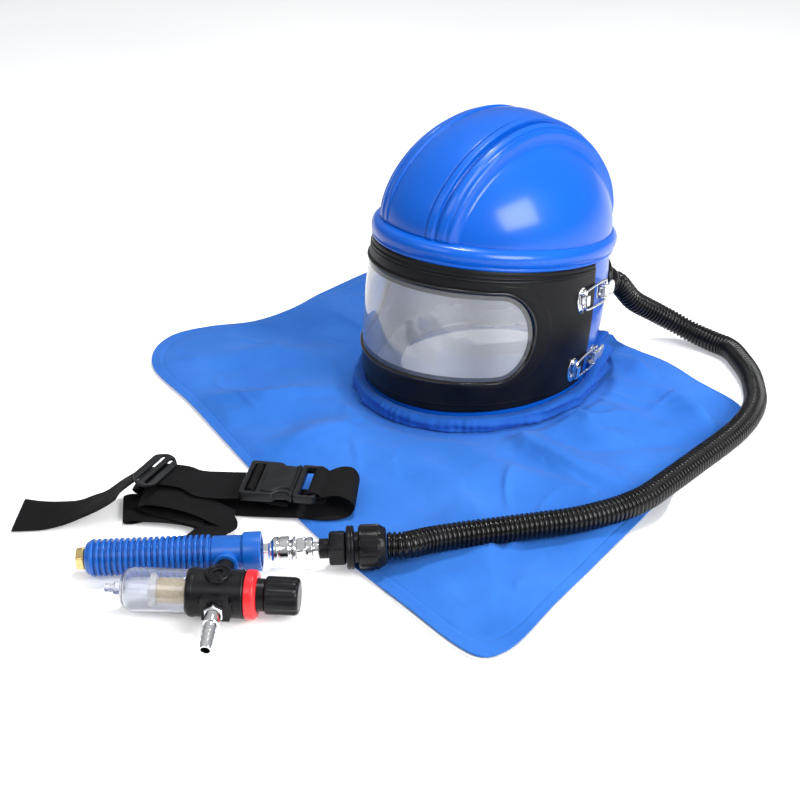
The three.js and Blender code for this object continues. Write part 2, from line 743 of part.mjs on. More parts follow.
function latchLever() {
  const low = PIVOT_HEIGHT - 2;
  const high = PIVOT_HEIGHT + 2;
  const arm = sideways([
    [-2.4, low], [LEVER_ARM + 3, low], [LEVER_LENGTH * 0.7, PIVOT_HEIGHT + 0.4],
    [LEVER_LENGTH * 0.7, high], [-2.4, high],
  ], LEVER_WIDTH / 2);
  const paddle = plate(
    ellipse(LEVER_LENGTH * 0.26, PADDLE_WIDTH / 2, 6).map(([x, y]) => [x + LEVER_LENGTH * 0.74, y]),
    PIVOT_HEIGHT + 0.4, high + 0.4,
  );
  const pin = rodAlongY(PIVOT_RADIUS, -earOutside, earOutside, 6).translate(0, 0, PIVOT_HEIGHT);
  const boss = rodAlongY(leverSlot, -LEVER_WIDTH / 2 - 1, LEVER_WIDTH / 2 + 1, 6)
    .translate(LEVER_ARM, 0, bailPinHeight);
  const keep = block(LEVER_ARM - 4, LEVER_ARM + 4, -LEVER_WIDTH / 2 + 2.5, LEVER_WIDTH / 2 - 2.5, 0, 20);
  return join(cut(join(arm, paddle), cut(boss, keep)), pin);
}

// Wire bail from the lever's side holes to the hook: a round wire along a path of straight runs
function latchBail(hook) {
  const [frontX, frontZ] = [hook.x, hook.z];
  const inner = LEVER_WIDTH / 2 - 2;
  const bend = 2.2;
  const path = [
    vec(LEVER_ARM, inner, bailPinHeight),
    vec(LEVER_ARM, BAIL_HALF_WIDTH - bend, bailPinHeight),
    vec(LEVER_ARM - bend, BAIL_HALF_WIDTH, bailPinHeight),
    vec(frontX + bend, BAIL_HALF_WIDTH, frontZ),
    vec(frontX, BAIL_HALF_WIDTH - bend, frontZ),
  ];
  const whole = [...path, ...path.map((p) => vec(p.x, -p.y, p.z)).reverse()];
  const rings = whole.map((point, i) => {
    const before = whole[Math.max(i - 1, 0)];
    const after = whole[Math.min(i + 1, whole.length - 1)];
    const first = i === 0 ? after.clone().sub(point) : point.clone().sub(before);
    const second = i === whole.length - 1 ? first.clone() : after.clone().sub(point);
    const along = first.normalize().add(second.normalize()).normalize();
    const side = vec(0, 0, 1).cross(along).normalize();
    const rise = along.clone().cross(side).normalize();
    return Array.from({ length: 4 }, (_, k) => point.clone()
      .addScaledVector(side, WIRE_RADIUS * Math.cos(((k + 0.5) * Math.PI) / 2))
      .addScaledVector(rise, WIRE_RADIUS * Math.sin(((k + 0.5) * Math.PI) / 2)));
  });
  return loft(rings);
}

const latchPlaces = [
  { name: 'left_upper', side: 1, share: LATCH_HIGH },
  { name: 'left_lower', side: 1, share: LATCH_LOW },
  { name: 'right_upper', side: -1, share: LATCH_HIGH },
  { name: 'right_lower', side: -1, share: LATCH_LOW },
];
for (const { name, side, share } of latchPlaces) {
  const [low, high] = [share - LATCH_HALF_CELL, share + LATCH_HALF_CELL];
  const onFrame = seat(side * 90, side * FRAME_REACH, low, high, 0);
  onFrame.multiply(new THREE.Matrix4().makeTranslation(CATCH_REACH, 0, 0));
  const onShell = seat(side * FRAME_REACH, side * backStation, low, high, SHELL_OUT);
  const hook = vec(0, 0, WIRE_HEIGHT).applyMatrix4(onFrame).applyMatrix4(onShell.clone().invert());
  add(placed(stand, onFrame), `catch_${name}`, catchPlate(), CHROME);
  const base = placed(stand, onShell);
  add(base, `latch_base_${name}`, latchBase(), CHROME);
  add(base, `latch_lever_${name}`, latchLever(), CHROME);
  add(base, `latch_bail_${name}`, latchBail(hook), CHROME);
}

// Neck band: a gathered casing round the shell's skirt
const capeTop = 2 * CLOTH + GAP;
const NECK_SECTION = [
  { out: 0, height: 0 },
  { out: 0.7, height: 0 },
  { out: 1, height: 0.4 },
  { out: 0.6, height: 1 },
  { out: 0, height: 0.93 },
];
const neckInner = SHELL_OUT + 2 * GAP;
const neckBottom = capeTop + GAP;
const neckRings = NECK_SECTION.map(({ out, height }) => Array.from({ length: 3 * NECK_PLEATS }, (_, i) => {
  const theta = (120 * i) / NECK_PLEATS;
  const pleat = PLEAT_DEPTH * out * Math.cos((2 * Math.PI * i) / 3);
  return rim(theta, neckBottom + height * (NECK_BAND_TOP - neckBottom), neckInner + out * BAND_BULGE + pleat);
}));
add(stand, 'neck_band', loft(neckRings, true), DEEP_BLUE_CLOTH);

// Inner collar: a soft white sheet from the skirt up to the neck hole
const COLLAR_SECTION = [
  { inward: 0, rise: 0 },
  { inward: 0.45, rise: 1 },
  { inward: 1, rise: 0.55 },
];
const COLLAR_LUMPS = [
  { waves: 3, turn: 40, height: 0.16 },
  { waves: 5, turn: 110, height: 0.14 },
  { waves: 8, turn: 15, height: 0.08 },
];
const collarBottom = SKIRT_BOTTOM + 2;

function collarPoint(theta, inward, rise, lift) {
  const outer = rim(theta, 0, SHELL_IN - 2.4);
  const inner = vec(COLLAR_HOLE_HALF_WIDTH * Math.sin(rad(theta)), -COLLAR_HOLE_HALF_LENGTH * Math.cos(rad(theta)), 0);
  const lumps = COLLAR_LUMPS.reduce(
    (sum, { waves, turn, height }) => sum + height * Math.cos(rad(waves * (theta - turn))), 0);
  const soft = Math.sin(Math.PI * Math.min(inward, 0.8)) * lumps;
  return outer.lerp(inner, inward).setZ(collarBottom + COLLAR_RISE * (rise + soft) + lift);
}
const collarRing = ({ inward, rise }, lift) => Array.from({ length: 28 },
  (_, i) => collarPoint((90 * i) / 7, inward, rise, lift));
add(stand, 'inner_collar', walled(
  COLLAR_SECTION.map((row) => collarRing(row, 0)),
  COLLAR_SECTION.map((row) => collarRing(row, CLOTH)),
  true,
), WHITE_CLOTH);

// Cape: outline corners as shares of its length and width, from the near left corner round the back
const CAPE_OUTLINE = [
  { x: -0.397, y: -0.511 },
  { x: -0.454, y: -0.455 },
  { x: -0.476, y: -0.384 },
  { x: -0.46, y: -0.304 },
  { x: -0.423, y: -0.213 },
  { x: -0.42, y: -0.107 },
  { x: -0.436, y: 0 },
  { x: -0.454, y: 0.179 },
  { x: -0.45, y: 0.31 },
  { x: -0.41, y: 0.357 },
  { x: -0.214, y: 0.366 },
  { x: 0, y: 0.357 },
  { x: 0.106, y: 0.334 },
  { x: 0.194, y: 0.339 },
  { x: 0.276, y: 0.318 },
  { x: 0.374, y: 0.295 },
  { x: 0.409, y: 0.255 },
  { x: 0.444, y: 0.018 },
  { x: 0.48, y: -0.191 },
  { x: 0.526, y: -0.468 },
  { x: 0.552, y: -0.63 },
  { x: 0.538, y: -0.668 },
  { x: 0.383, y: -0.668 },
  { x: 0.204, y: -0.652 },
  { x: -0.021, y: -0.602 },
  { x: -0.243, y: -0.545 },
];

// Soft folds that run out from the neck: bearings in degrees from +X, spans as shares of the way to the edge
const CAPE_FOLDS = [
  { bearing: 205, sweep: 12, from: 0.15, to: 0.75, width: 9, height: 0.7 },
  { bearing: 232, sweep: -8, from: 0.1, to: 0.8, width: 8, height: 0.6 },
  { bearing: 262, sweep: 10, from: 0.15, to: 0.7, width: 9, height: 0.45 },
  { bearing: 175, sweep: -6, from: 0.2, to: 0.9, width: 10, height: 0.6 },
  { bearing: 140, sweep: 5, from: 0.15, to: 0.8, width: 12, height: 0.5 },
  { bearing: 40, sweep: -14, from: 0.1, to: 0.85, width: 10, height: 1 },
  { bearing: 12, sweep: -8, from: 0.12, to: 0.7, width: 8, height: 0.8 },
  { bearing: 70, sweep: 4, from: 0.1, to: 0.5, width: 9, height: 0.9 },
  { bearing: 338, sweep: -6, from: 0.1, to: 0.42, width: 9, height: 0.6 },
];

const capeCurve = new THREE.CatmullRomCurve3(
  CAPE_OUTLINE.map(({ x, y }) => vec(x * CAPE_LENGTH, y * CAPE_WIDTH, 0)), true, 'centripetal');
const capeEdge = capeCurve.getSpacedPoints(46).slice(0, -1);

function capeFold(bearing, share) {
  return CAPE_FOLDS.reduce((sum, fold) => {
    const along = (share - fold.from) / (fold.to - fold.from);
    if (along <= 0 || along >= 1) return sum;
    const centre = fold.bearing + fold.sweep * along;
    const off = THREE.MathUtils.euclideanModulo(bearing - centre + 180, 360) - 180;
    return sum + fold.height * Math.sin(Math.PI * along) * Math.exp(-((off / fold.width) ** 2));
  }, 0);
}

// The sheet's rings: the neck hole, the foot of the neck band, and shares of the way from there to the edge
function capeSheet(bottomHeight, shares, folded, lip) {
  const rings = capeEdge.map((edge) => {
    const theta = THREE.MathUtils.radToDeg(Math.atan2(edge.x / RIM_HALF_WIDTH, -edge.y / RIM_HALF_LENGTH));
    const bearing = THREE.MathUtils.radToDeg(Math.atan2(edge.y, edge.x));
    const foot = rim(theta, 0, BAND_BULGE + 3);
    const past = lip * Math.max(Math.cos(rad(bearing - LIP_BEARING)), 0) ** 0.5;
    const outer = edge.clone().setLength(edge.length() - 1 + past);
    return [
      rim(theta, bottomHeight, -NECK_HOLE_INSET),
      ...shares.map((share) => foot.clone().lerp(outer, share)
        .setZ(bottomHeight + (folded ? CAPE_FOLD * capeFold(bearing, share) : 0))),
    ];
  });
  const sheet = (lift) => rings[0].map((_, r) => rings.map((spoke) => spoke[r].clone().add(vec(0, 0, lift))));
  return walled(sheet(0), sheet(CLOTH), true);
}
add(stand, 'cape_lower', capeSheet(0, [1], false, CAPE_LIP), WHITE_CLOTH);
add(stand, 'cape_upper', capeSheet(CLOTH + GAP, [0, 0.24, 0.55, 1], true, 0), BLUE_CLOTH);

// Air port on the shell's back, fitted to the shell's curve
const portNormal = faceNormal(PORT_ANGLE, PORT_SHARE);
const portBase = face(PORT_ANGLE, PORT_SHARE, SHELL_OUT);
const portAxis = vec(PORT_HEADING.x, PORT_HEADING.y, PORT_HEADING.z).normalize();

// Turns a body made about +Y to another direction and moves it
function aimed(geometry, direction, at) {
  const turn = new THREE.Quaternion().setFromUnitVectors(vec(0, 1, 0), direction);
  return geometry.applyQuaternion(turn).translate(at.x, at.y, at.z);
}
const envelopeShares = [0, ...frameShares.slice(1)];
const envelope = loft(envelopeShares.map((share) => ringOf((theta) => face(theta, share, SHELL_OUT + GAP))));
const portFlange = aimed(shaft([
  { at: -8, radius: PORT_FLANGE_RADIUS },
  { at: PORT_FLANGE_THICKNESS * 0.7, radius: PORT_FLANGE_RADIUS },
  { at: PORT_FLANGE_THICKNESS, radius: PORT_FLANGE_RADIUS - 2 },
], 16), portNormal, portBase);
const portSpigot = aimed(shaft([
  { at: -14, radius: PORT_SPIGOT_RADIUS },
  { at: PORT_SPIGOT_LENGTH - 2, radius: PORT_SPIGOT_RADIUS },
  { at: PORT_SPIGOT_LENGTH, radius: PORT_SPIGOT_RADIUS - 2 },
], 12), portAxis, portBase);
add(stand, 'hose_port', cut(join(portFlange, portSpigot), envelope), BLACK_PLASTIC);

// Pieces on the air line are made about +Y; the cooler's brass end is at 0
function lineFrame(x, y, z, heading, slope) {
  const holder = new THREE.Group();
  holder.position.set(x, y, z);
  holder.rotation.set(rad(slope), 0, rad(heading - 90), 'ZXY');
  stand.add(holder);
  holder.updateMatrix();
  return holder;
}
const airLine = lineFrame(AIR_LINE_X, AIR_LINE_Y, COOLER_RADIUS + 0.8, AIR_LINE_HEADING, AIR_LINE_SLOPE);

// Cooler: brass end, finned tube, smooth part with the branch, collar
const brassHex = shaft([{ at: 0, radius: BRASS_RADIUS }, { at: BRASS_LENGTH, radius: BRASS_RADIUS }], 6);
const brassHole = shaft([{ at: -1, radius: BRASS_RADIUS * 0.45 }, { at: 5, radius: BRASS_RADIUS * 0.45 }], 10);
add(airLine, 'cooler_nut', cut(brassHex, brassHole), BRASS);

const coolerStart = BRASS_LENGTH + GAP;
const finStart = coolerStart + 5.5;
const fins = Array.from({ length: FIN_COUNT }, (_, i) => {
  const at = finStart + i * FIN_PITCH;
  return [
    { at: at + FIN_PITCH * 0.25, radius: COOLER_RADIUS },
    { at: at + FIN_PITCH * 0.75, radius: COOLER_RADIUS - FIN_DEPTH },
  ];
}).flat();
const finEnd = finStart + FIN_COUNT * FIN_PITCH;
const coolerEnd = coolerStart + COOLER_LENGTH;
const collarStart = coolerEnd - COOLER_COLLAR_LENGTH;
const branchAt = (finEnd + collarStart) / 2;
const coolerTube = shaft([
  { at: coolerStart, radius: BRASS_RADIUS + 0.5 },
  ...fins,
  { at: finEnd, radius: COOLER_RADIUS - 1.5 },
  { at: collarStart, radius: COOLER_RADIUS - 1.5 },
  { at: collarStart + 0.5, radius: COOLER_COLLAR_RADIUS },
  { at: coolerEnd, radius: COOLER_COLLAR_RADIUS },
], 9);
const collarHole = shaft([
  { at: coolerEnd - COLLAR_RECESS, radius: 14 },
  { at: coolerEnd + 1, radius: 14 },
], 12);

// The regulator lies beside the cooler; its middle port faces the cooler's branch
const regulator = lineFrame(REGULATOR_X, REGULATOR_Y, REGULATOR_RADIUS + 0.6, REGULATOR_HEADING, 0);
const bodyStart = BOWL_START + BOWL_LENGTH;
const portAt = bodyStart + PORT_OFFSET;
const portCentre = regulator.localToWorld(vec(0, portAt, 0));
stand.updateMatrixWorld(true);
portCentre.copy(vec(0, portAt, 0).applyMatrix4(regulator.matrix));
const toBranch = portCentre.clone().applyMatrix4(airLine.matrix.clone().invert());
const branchAxis = toBranch.clone().sub(vec(0, branchAt, 0));
const branchLength = branchAxis.length();
branchAxis.normalize();
const branchFace = COOLER_RADIUS + 4;
const branch = aimed(shaft([{ at: 8, radius: 10 }, { at: branchFace, radius: 10 }], 10),
  branchAxis, vec(0, branchAt, 0));
add(airLine, 'cooler', cut(join(coolerTube, branch), collarHole), BLUE_SHELL);
const nipple = aimed(shaft([
  { at: branchFace + GAP, radius: 8.5 },
  { at: branchLength - REGULATOR_RADIUS - 5 - GAP, radius: 8.5 },
], 6), branchAxis, vec(0, branchAt, 0));
add(airLine, 'branch_nipple', nipple, BLACK_PLASTIC);

// Plain belt keeper on the far side of the cooler
const keeperOut = COOLER_RADIUS + 7;
const keeperLow = branchAt - 62;
const keeperHigh = branchAt - 2;
const keeperRod = shaft([
  { at: keeperLow, radius: KEEPER_ROD_RADIUS },
  { at: keeperHigh, radius: KEEPER_ROD_RADIUS },
], 6).translate(-keeperOut, 0, 0);
const keeperFoot = (at) => block(-keeperOut, -COOLER_RADIUS - GAP, at - 2, at + 2, -2, 2);
add(airLine, 'belt_keeper', join(keeperRod, keeperFoot(keeperLow + 2), keeperFoot(keeperHigh - 2)), BLACK_PLASTIC);

// Coupler: socket with its sliding sleeve, plug
const socketStart = coolerEnd + GAP;
const socketEnd = socketStart + 32;
const sleeveStart = socketStart + 9;
const sleeveEnd = sleeveStart + 17;
const sleeveBore = 9.8;
add(airLine, 'coupler_socket', shaft([
  { at: coolerEnd - COLLAR_RECESS + GAP, radius: 8.6 },
  { at: sleeveStart - 2, radius: 8.6 },
  { at: sleeveStart - 1, radius: sleeveBore - GAP },
  { at: sleeveEnd + 1, radius: sleeveBore - GAP },
  { at: sleeveEnd + 3, radius: 11 },
  { at: sleeveEnd + 4, radius: COUPLER_RADIUS - 0.4 },
  { at: socketEnd, radius: COUPLER_RADIUS - 0.4 },
], 10), CHROME);
add(airLine, 'coupler_sleeve', turnedRing([
  { at: sleeveStart, radius: sleeveBore },
  { at: sleeveStart, radius: COUPLER_RADIUS - 2.5 },
  { at: sleeveStart + 3, radius: COUPLER_RADIUS },
  { at: sleeveEnd - 0.5, radius: COUPLER_RADIUS },
  { at: sleeveEnd, radius: COUPLER_RADIUS - 0.5 },
  { at: sleeveEnd, radius: sleeveBore },
], 10), CHROME);
const plugStart = socketEnd + GAP;
const plugEnd = plugStart + 21;
add(airLine, 'coupler_plug', shaft([
  { at: plugStart, radius: COUPLER_RADIUS - 0.6 },
  { at: plugStart + 9, radius: COUPLER_RADIUS - 0.6 },
  { at: plugStart + 9.5, radius: 12 },
  { at: plugStart + 16, radius: 12 },
  { at: plugStart + 16.5, radius: 7 },
  { at: plugEnd, radius: 7 },
], 10), CHROME);

// Hose end: adapter, flange and ribbed gland nut
const adapterStart = plugEnd + GAP;
const adapterHex = adapterStart + 9.5;
const adapterEnd = adapterHex + 16;
add(airLine, 'hose_adapter', join(
  shaft([{ at: adapterStart, radius: 9.7 }, { at: adapterHex + 1, radius: 9.7 }], 12),
  shaft([{ at: adapterHex, radius: 17.6 }, { at: adapterEnd, radius: 17.6 }], 6),
), BLACK_PLASTIC);
const flangeEnd = adapterEnd + 8;
add(airLine, 'gland_flange', shaft([
  { at: adapterEnd + GAP, radius: 20 },
  { at: adapterEnd + 1.5, radius: 21 },
  { at: flangeEnd - 1.5, radius: 21 },
  { at: flangeEnd, radius: 20 },
], 16), BLACK_PLASTIC);
const glandStart = flangeEnd + 3.5;
const glandEnd = glandStart + GLAND_LENGTH;
const glandOutline = Array.from({ length: 24 }, (_, i) => {
  const radius = i % 2 === 0 ? GLAND_RADIUS - 1.2 : GLAND_RADIUS;
  const turn = (2 * Math.PI * i) / 24;
  return [radius * Math.cos(turn), radius * Math.sin(turn)];
});
const glandRings = [
  { at: glandStart, scale: 0.94 },
  { at: glandStart + 2, scale: 1 },
  { at: glandEnd - 7, scale: 1 },
  { at: glandEnd, scale: 0.8 },
];
const glandNeck = shaft([{ at: flangeEnd + GAP, radius: 15 }, { at: glandStart + 1, radius: 15 }], 12);
add(airLine, 'gland_nut', join(glandNeck, loft(glandRings.map(({ at, scale }) =>
  glandOutline.map(([x, z]) => vec(x * scale, at, -z * scale))))), BLACK_PLASTIC);

// Air hose: a smooth line from the helmet's port to the gland nut
function tubeAlong(path, radius, steps, sides) {
  const curve = new THREE.CatmullRomCurve3(path, false, 'centripetal');
  const { normals, binormals } = curve.computeFrenetFrames(steps);
  return loft(Array.from({ length: steps + 1 }, (_, i) => {
    const centre = curve.getPointAt(i / steps);
    return Array.from({ length: sides }, (__, k) => centre.clone()
      .addScaledVector(normals[i], radius * Math.cos((2 * Math.PI * k) / sides))
      .addScaledVector(binormals[i], radius * Math.sin((2 * Math.PI * k) / sides)));
  }));
}
const hoseStart = portBase.clone().addScaledVector(portAxis, PORT_SPIGOT_LENGTH + GAP);
const hoseEnd = vec(0, glandEnd + GAP, 0).applyMatrix4(airLine.matrix);
const hoseBeforeEnd = vec(0, glandEnd + 18, 0).applyMatrix4(airLine.matrix);
const hosePath = [
  hoseStart,
  hoseStart.clone().addScaledVector(portAxis, 10),
  ...HOSE_POINTS.map(({ x, y, z }) => vec(x, y, z)),
  hoseBeforeEnd,
  hoseEnd,
];
add(stand, 'air_hose', tubeAlong(hosePath, HOSE_RADIUS, 48, 8), BLACK_PLASTIC);

// Filter regulator: bowl with its drain, filter and baffle, body, lock ring and knob
add(regulator, 'drain_valve', shaft([
  { at: 0, radius: 2.5 },
  { at: 2, radius: 4 },
  { at: 5, radius: 3 },
  { at: 7, radius: 4.2 },
  { at: 9, radius: 3.2 },
  { at: 9.5, radius: 6 },
  { at: BOWL_START - GAP, radius: 6 },
], 8), CLEAR_PLASTIC);
add(regulator, 'regulator_bowl', turned([
  { at: BOWL_START, radius: 0 },
  { at: BOWL_START, radius: 9 },
  { at: BOWL_START + 3, radius: 15.5 },
  { at: BOWL_START + 10, radius: BOWL_RADIUS },
  { at: bodyStart - GAP, radius: BOWL_RADIUS },
  { at: bodyStart - GAP, radius: BOWL_RADIUS - BOWL_WALL },
  { at: BOWL_START + 10.5, radius: BOWL_RADIUS - BOWL_WALL },
  { at: BOWL_START + 4.5, radius: 14 },
  { at: BOWL_START + 2, radius: 8 },
  { at: BOWL_START + 2, radius: 0 },
], 14), CLEAR_PLASTIC);
const filterStart = bodyStart - 28;
add(regulator, 'filter_element', shaft([
  { at: filterStart, radius: 12 },
  { at: bodyStart - GAP, radius: 12 },
], 14), FILTER_TAN);
add(regulator, 'bowl_baffle', shaft([
  { at: filterStart - 9, radius: 5 },
  { at: filterStart - 7, radius: 15.5 },
  { at: filterStart - 4, radius: 16 },
  { at: filterStart - GAP, radius: 9 },
], 14), WHITE_PLASTIC);
const neckStart = bodyStart + BODY_LENGTH;
const knobStart = neckStart + 18;
const stubEnd = knobStart + 8;
const housing = shaft([
  { at: bodyStart, radius: REGULATOR_RADIUS - 0.8 },
  { at: bodyStart + 2, radius: REGULATOR_RADIUS },
  { at: neckStart - 2, radius: REGULATOR_RADIUS },
  { at: neckStart, radius: REGULATOR_RADIUS - 1 },
  { at: neckStart, radius: 15 },
  { at: knobStart - GAP, radius: 15 },
  { at: knobStart - GAP, radius: KNOB_STEM_RADIUS },
  { at: stubEnd, radius: KNOB_STEM_RADIUS },
], KNOB_STEM_SIDES);
const boss = (direction, radius, reach, sides) =>
  aimed(shaft([{ at: 6, radius }, { at: reach, radius }], sides), direction, vec(0, portAt, 0));
const plugHole = aimed(shaft([{ at: REGULATOR_RADIUS - 4, radius: 9 }, { at: 40, radius: 9 }], 14),
  vec(0, 0, 1), vec(0, portAt, 0));
const toRegulatorBranch = vec(0, branchAt, 0).applyMatrix4(airLine.matrix)
  .applyMatrix4(regulator.matrix.clone().invert()).sub(vec(0, portAt, 0)).normalize();
add(regulator, 'regulator_body', cut(join(
  housing,
  block(8, REGULATOR_RADIUS + 3, portAt - 13, portAt + 13, -12.5, 12.5),
  boss(toRegulatorBranch, 11, REGULATOR_RADIUS + 5, 14),
  boss(vec(0, 0, 1), 12, REGULATOR_RADIUS + 1.5, 14),
), plugHole), BLACK_PLASTIC);
const topPlug = aimed(shaft([
  { at: REGULATOR_RADIUS - 4 + GAP, radius: 9 - GAP },
  { at: REGULATOR_RADIUS + 1, radius: 9 - GAP },
], 14), vec(0, 0, 1), vec(0, portAt, 0));
const topPlugHole = aimed(shaft([
  { at: REGULATOR_RADIUS - 2, radius: 4.6 },
  { at: REGULATOR_RADIUS + 3, radius: 4.6 },
], 6), vec(0, 0, 1), vec(0, portAt, 0));
add(regulator, 'port_plug', cut(topPlug, topPlugHole), BLACK_PLASTIC);
add(regulator, 'lock_ring', turnedRing([
  { at: neckStart + GAP, radius: 15 + GAP },
  { at: neckStart + GAP, radius: REGULATOR_RADIUS },
  { at: neckStart + 9, radius: REGULATOR_RADIUS },
  { at: neckStart + 11, radius: REGULATOR_RADIUS - 3 },
  { at: neckStart + 11, radius: 15 + GAP },
], 12), RED_PLASTIC);
const knobOutline = Array.from({ length: 18 }, (_, i) => {
  const radius = i % 2 === 0 ? KNOB_RADIUS - 0.9 : KNOB_RADIUS;
  return vec(radius * Math.cos((Math.PI * i) / 9), 0, -radius * Math.sin((Math.PI * i) / 9));
});
const knobAt = (at, scale) => knobOutline.map((point) => vec(point.x * scale, at, point.z * scale));
// The bore's flats stay clear of the stem's corners as the knob turns
const knobBoreRadius = (KNOB_STEM_RADIUS + GAP) / Math.cos(Math.PI / KNOB_STEM_SIDES);
const knobBore = shaft([
  { at: knobStart - 1, radius: knobBoreRadius },
  { at: stubEnd + GAP, radius: knobBoreRadius },
], KNOB_STEM_SIDES);
add(regulator, 'regulator_knob', cut(loft([
  knobAt(knobStart, 0.97),
  knobAt(knobStart + 3, 1),
  knobAt(knobStart + KNOB_LENGTH - 2, 1),
  knobAt(knobStart + KNOB_LENGTH, 0.92),
]), knobBore), BLACK_PLASTIC);
const barbBase = REGULATOR_RADIUS + 3 + GAP;
const barbAxis = vec(Math.cos(rad(BARB_DROOP)), 0, -Math.sin(rad(BARB_DROOP)));
const barbHex = aimed(shaft([{ at: barbBase, radius: 9.5 }, { at: barbBase + 7, radius: 9.5 }], 6),
  vec(1, 0, 0), vec(0, portAt, 0));
const barbTail = aimed(shaft([
  { at: 2, radius: 7.5 },
  { at: 12, radius: 7.5 },
  { at: 12.5, radius: 6 },
  { at: 16, radius: 7.2 },
  { at: 21, radius: 5.8 },
  { at: 21.5, radius: 7.2 },
  { at: 27, radius: 5.8 },
  { at: 27.5, radius: 7.2 },
  { at: 33, radius: 5.8 },
  { at: 33.5, radius: 7 },
  { at: 40, radius: 5.6 },
], 8), barbAxis, vec(barbBase + 5, portAt, 0));
const barbBore = aimed(shaft([{ at: 14, radius: 4 }, { at: 44, radius: 4 }], 8),
  barbAxis, vec(barbBase + 5, portAt, 0));
add(regulator, 'inlet_barb', cut(join(barbHex, barbTail), barbBore), CHROME);

// Waist belt: strands of webbing, each a row of back and front edge points
function webbing(rows) {
  const middle = rows.map(({ back, front }) => vec(...back).add(vec(...front)).multiplyScalar(0.5));
  const skin = (side) => rows.map(({ back, front }, i) => {
    const [a, b] = [vec(...back), vec(...front)];
    const along = middle[Math.min(i + 1, rows.length - 1)].clone().sub(middle[Math.max(i - 1, 0)]);
    const lift = along.cross(b.clone().sub(a)).setLength((side * BELT_THICKNESS) / 2);
    return [a.add(lift), b.add(lift)];
  });
  return walled(skin(-1), skin(1));
}
for (const { name, rows } of BELT_STRANDS) add(stand, name, webbing(rows), BLACK_WEBBING);

// Buckle: socket and plug halves, each with a slot for the webbing
const buckle = new THREE.Group();
buckle.position.set(BUCKLE_X, BUCKLE_Y, BUCKLE_Z);
buckle.rotation.set(0, 0, rad(BUCKLE_HEADING));
stand.add(buckle);
const half = BUCKLE_WIDTH / 2;
const waist = half - 7;
const socketOutline = [
  [-SOCKET_LENGTH, -half + 2], [-SOCKET_LENGTH + 2, -half], [-14, -half], [-8, -half + 1], [-3, -waist],
  [5, -waist], [9, -half + 3], [12, -half + 3], [12, half - 3], [9, half - 3], [5, waist], [-3, waist],
  [-8, half - 1], [-14, half], [-SOCKET_LENGTH + 2, half], [-SOCKET_LENGTH, half - 2],
];
const webbingSlot = (x0, x1) => rectangle(x0, x1, -BELT_WIDTH / 2 - 1.5, BELT_WIDTH / 2 + 1.5);
const socketBar = -SOCKET_LENGTH + 5;
add(buckle, 'buckle_socket', plate(socketOutline, 0, BUCKLE_THICKNESS, [
  webbingSlot(socketBar, socketBar + 11),
]), GREY_PLASTIC);
const plugOutline = [
  [12 + GAP, -half + 4], [14, -half + 1], [12 + PLUG_LENGTH - 2, -half + 1], [12 + PLUG_LENGTH, -half + 3],
  [12 + PLUG_LENGTH, half - 3], [12 + PLUG_LENGTH - 2, half - 1], [14, half - 1], [12 + GAP, half - 4],
];
add(buckle, 'buckle_plug', plate(plugOutline, 1, BUCKLE_THICKNESS - 1, [
  webbingSlot(18, 12 + PLUG_LENGTH - 5),
]), GREY_PLASTIC);

// Slider at the start of the tail: an oval plate with two slots
const slider = new THREE.Group();
slider.position.set(SLIDER_X, SLIDER_Y, SLIDER_Z);
slider.rotation.set(rad(SLIDER_ROLL), 0, rad(SLIDER_HEADING), 'ZXY');
stand.add(slider);
const sliderOutline = cutRectangle(-SLIDER_LENGTH / 2, SLIDER_LENGTH / 2, -SLIDER_WIDTH / 2, SLIDER_WIDTH / 2, 9);
const sliderSlot = (side) => rectangle(-BELT_WIDTH / 2 - 0.5, BELT_WIDTH / 2 + 0.5, side - 1.8, side + 1.8);
add(slider, 'belt_slider', plate(sliderOutline, -1.8, 1.8, [sliderSlot(-4.5), sliderSlot(4.5)]), GREY_PLASTIC);

// The whole part as one group of named meshes
part.updateMatrixWorld(true);
export default part;
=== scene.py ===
"""Sandblasting hood with its air line and belt: the looks of every piece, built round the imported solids.

All shapes are worked out in millimetres in the helmet's own frame, where the helmet faces -Y, and
place() moves them to the row frame in metres. The helmet's side wall is a surface face(theta, share,
out): theta is the angle from the front, share the height between the rim ellipse and the leaning brow
ellipse, and out the distance along the outward normal. The dome is a superellipsoid: with d the unit
direction of a point, its height is the dome's rise times d_z to the power 2 over fullness, and its
width is scaled by (1 - d_z^2) to the power 1 over fullness minus one half. The crest is added along the
dome's normal from a cross section. Cloth is a grid of spokes from the neck to a closed Catmull-Rom
outline, raised by folds: each fold lifts the cloth by a bell of the distance to a short line of points.
Turned parts are rings of a profile about an axis, and webbing is a ruled strip between two smooth edge
lines.
"""
import math

import bmesh
import bpy
import numpy as np
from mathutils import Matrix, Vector


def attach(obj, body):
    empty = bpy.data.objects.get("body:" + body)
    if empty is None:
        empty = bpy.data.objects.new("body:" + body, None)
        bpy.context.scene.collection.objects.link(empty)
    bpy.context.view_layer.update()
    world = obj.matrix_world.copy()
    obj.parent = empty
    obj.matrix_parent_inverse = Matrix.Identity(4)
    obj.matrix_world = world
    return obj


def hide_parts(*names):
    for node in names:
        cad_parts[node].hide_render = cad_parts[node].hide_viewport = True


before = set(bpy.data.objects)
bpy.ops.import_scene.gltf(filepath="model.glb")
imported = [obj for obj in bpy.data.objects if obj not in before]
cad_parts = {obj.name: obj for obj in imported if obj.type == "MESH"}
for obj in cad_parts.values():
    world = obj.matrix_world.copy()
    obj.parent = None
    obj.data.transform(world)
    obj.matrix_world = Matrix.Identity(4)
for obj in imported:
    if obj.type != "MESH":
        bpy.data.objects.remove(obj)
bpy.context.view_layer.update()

# Camera
# It stands in front of the hood's left side and looks down at it, at the photograph's angle.

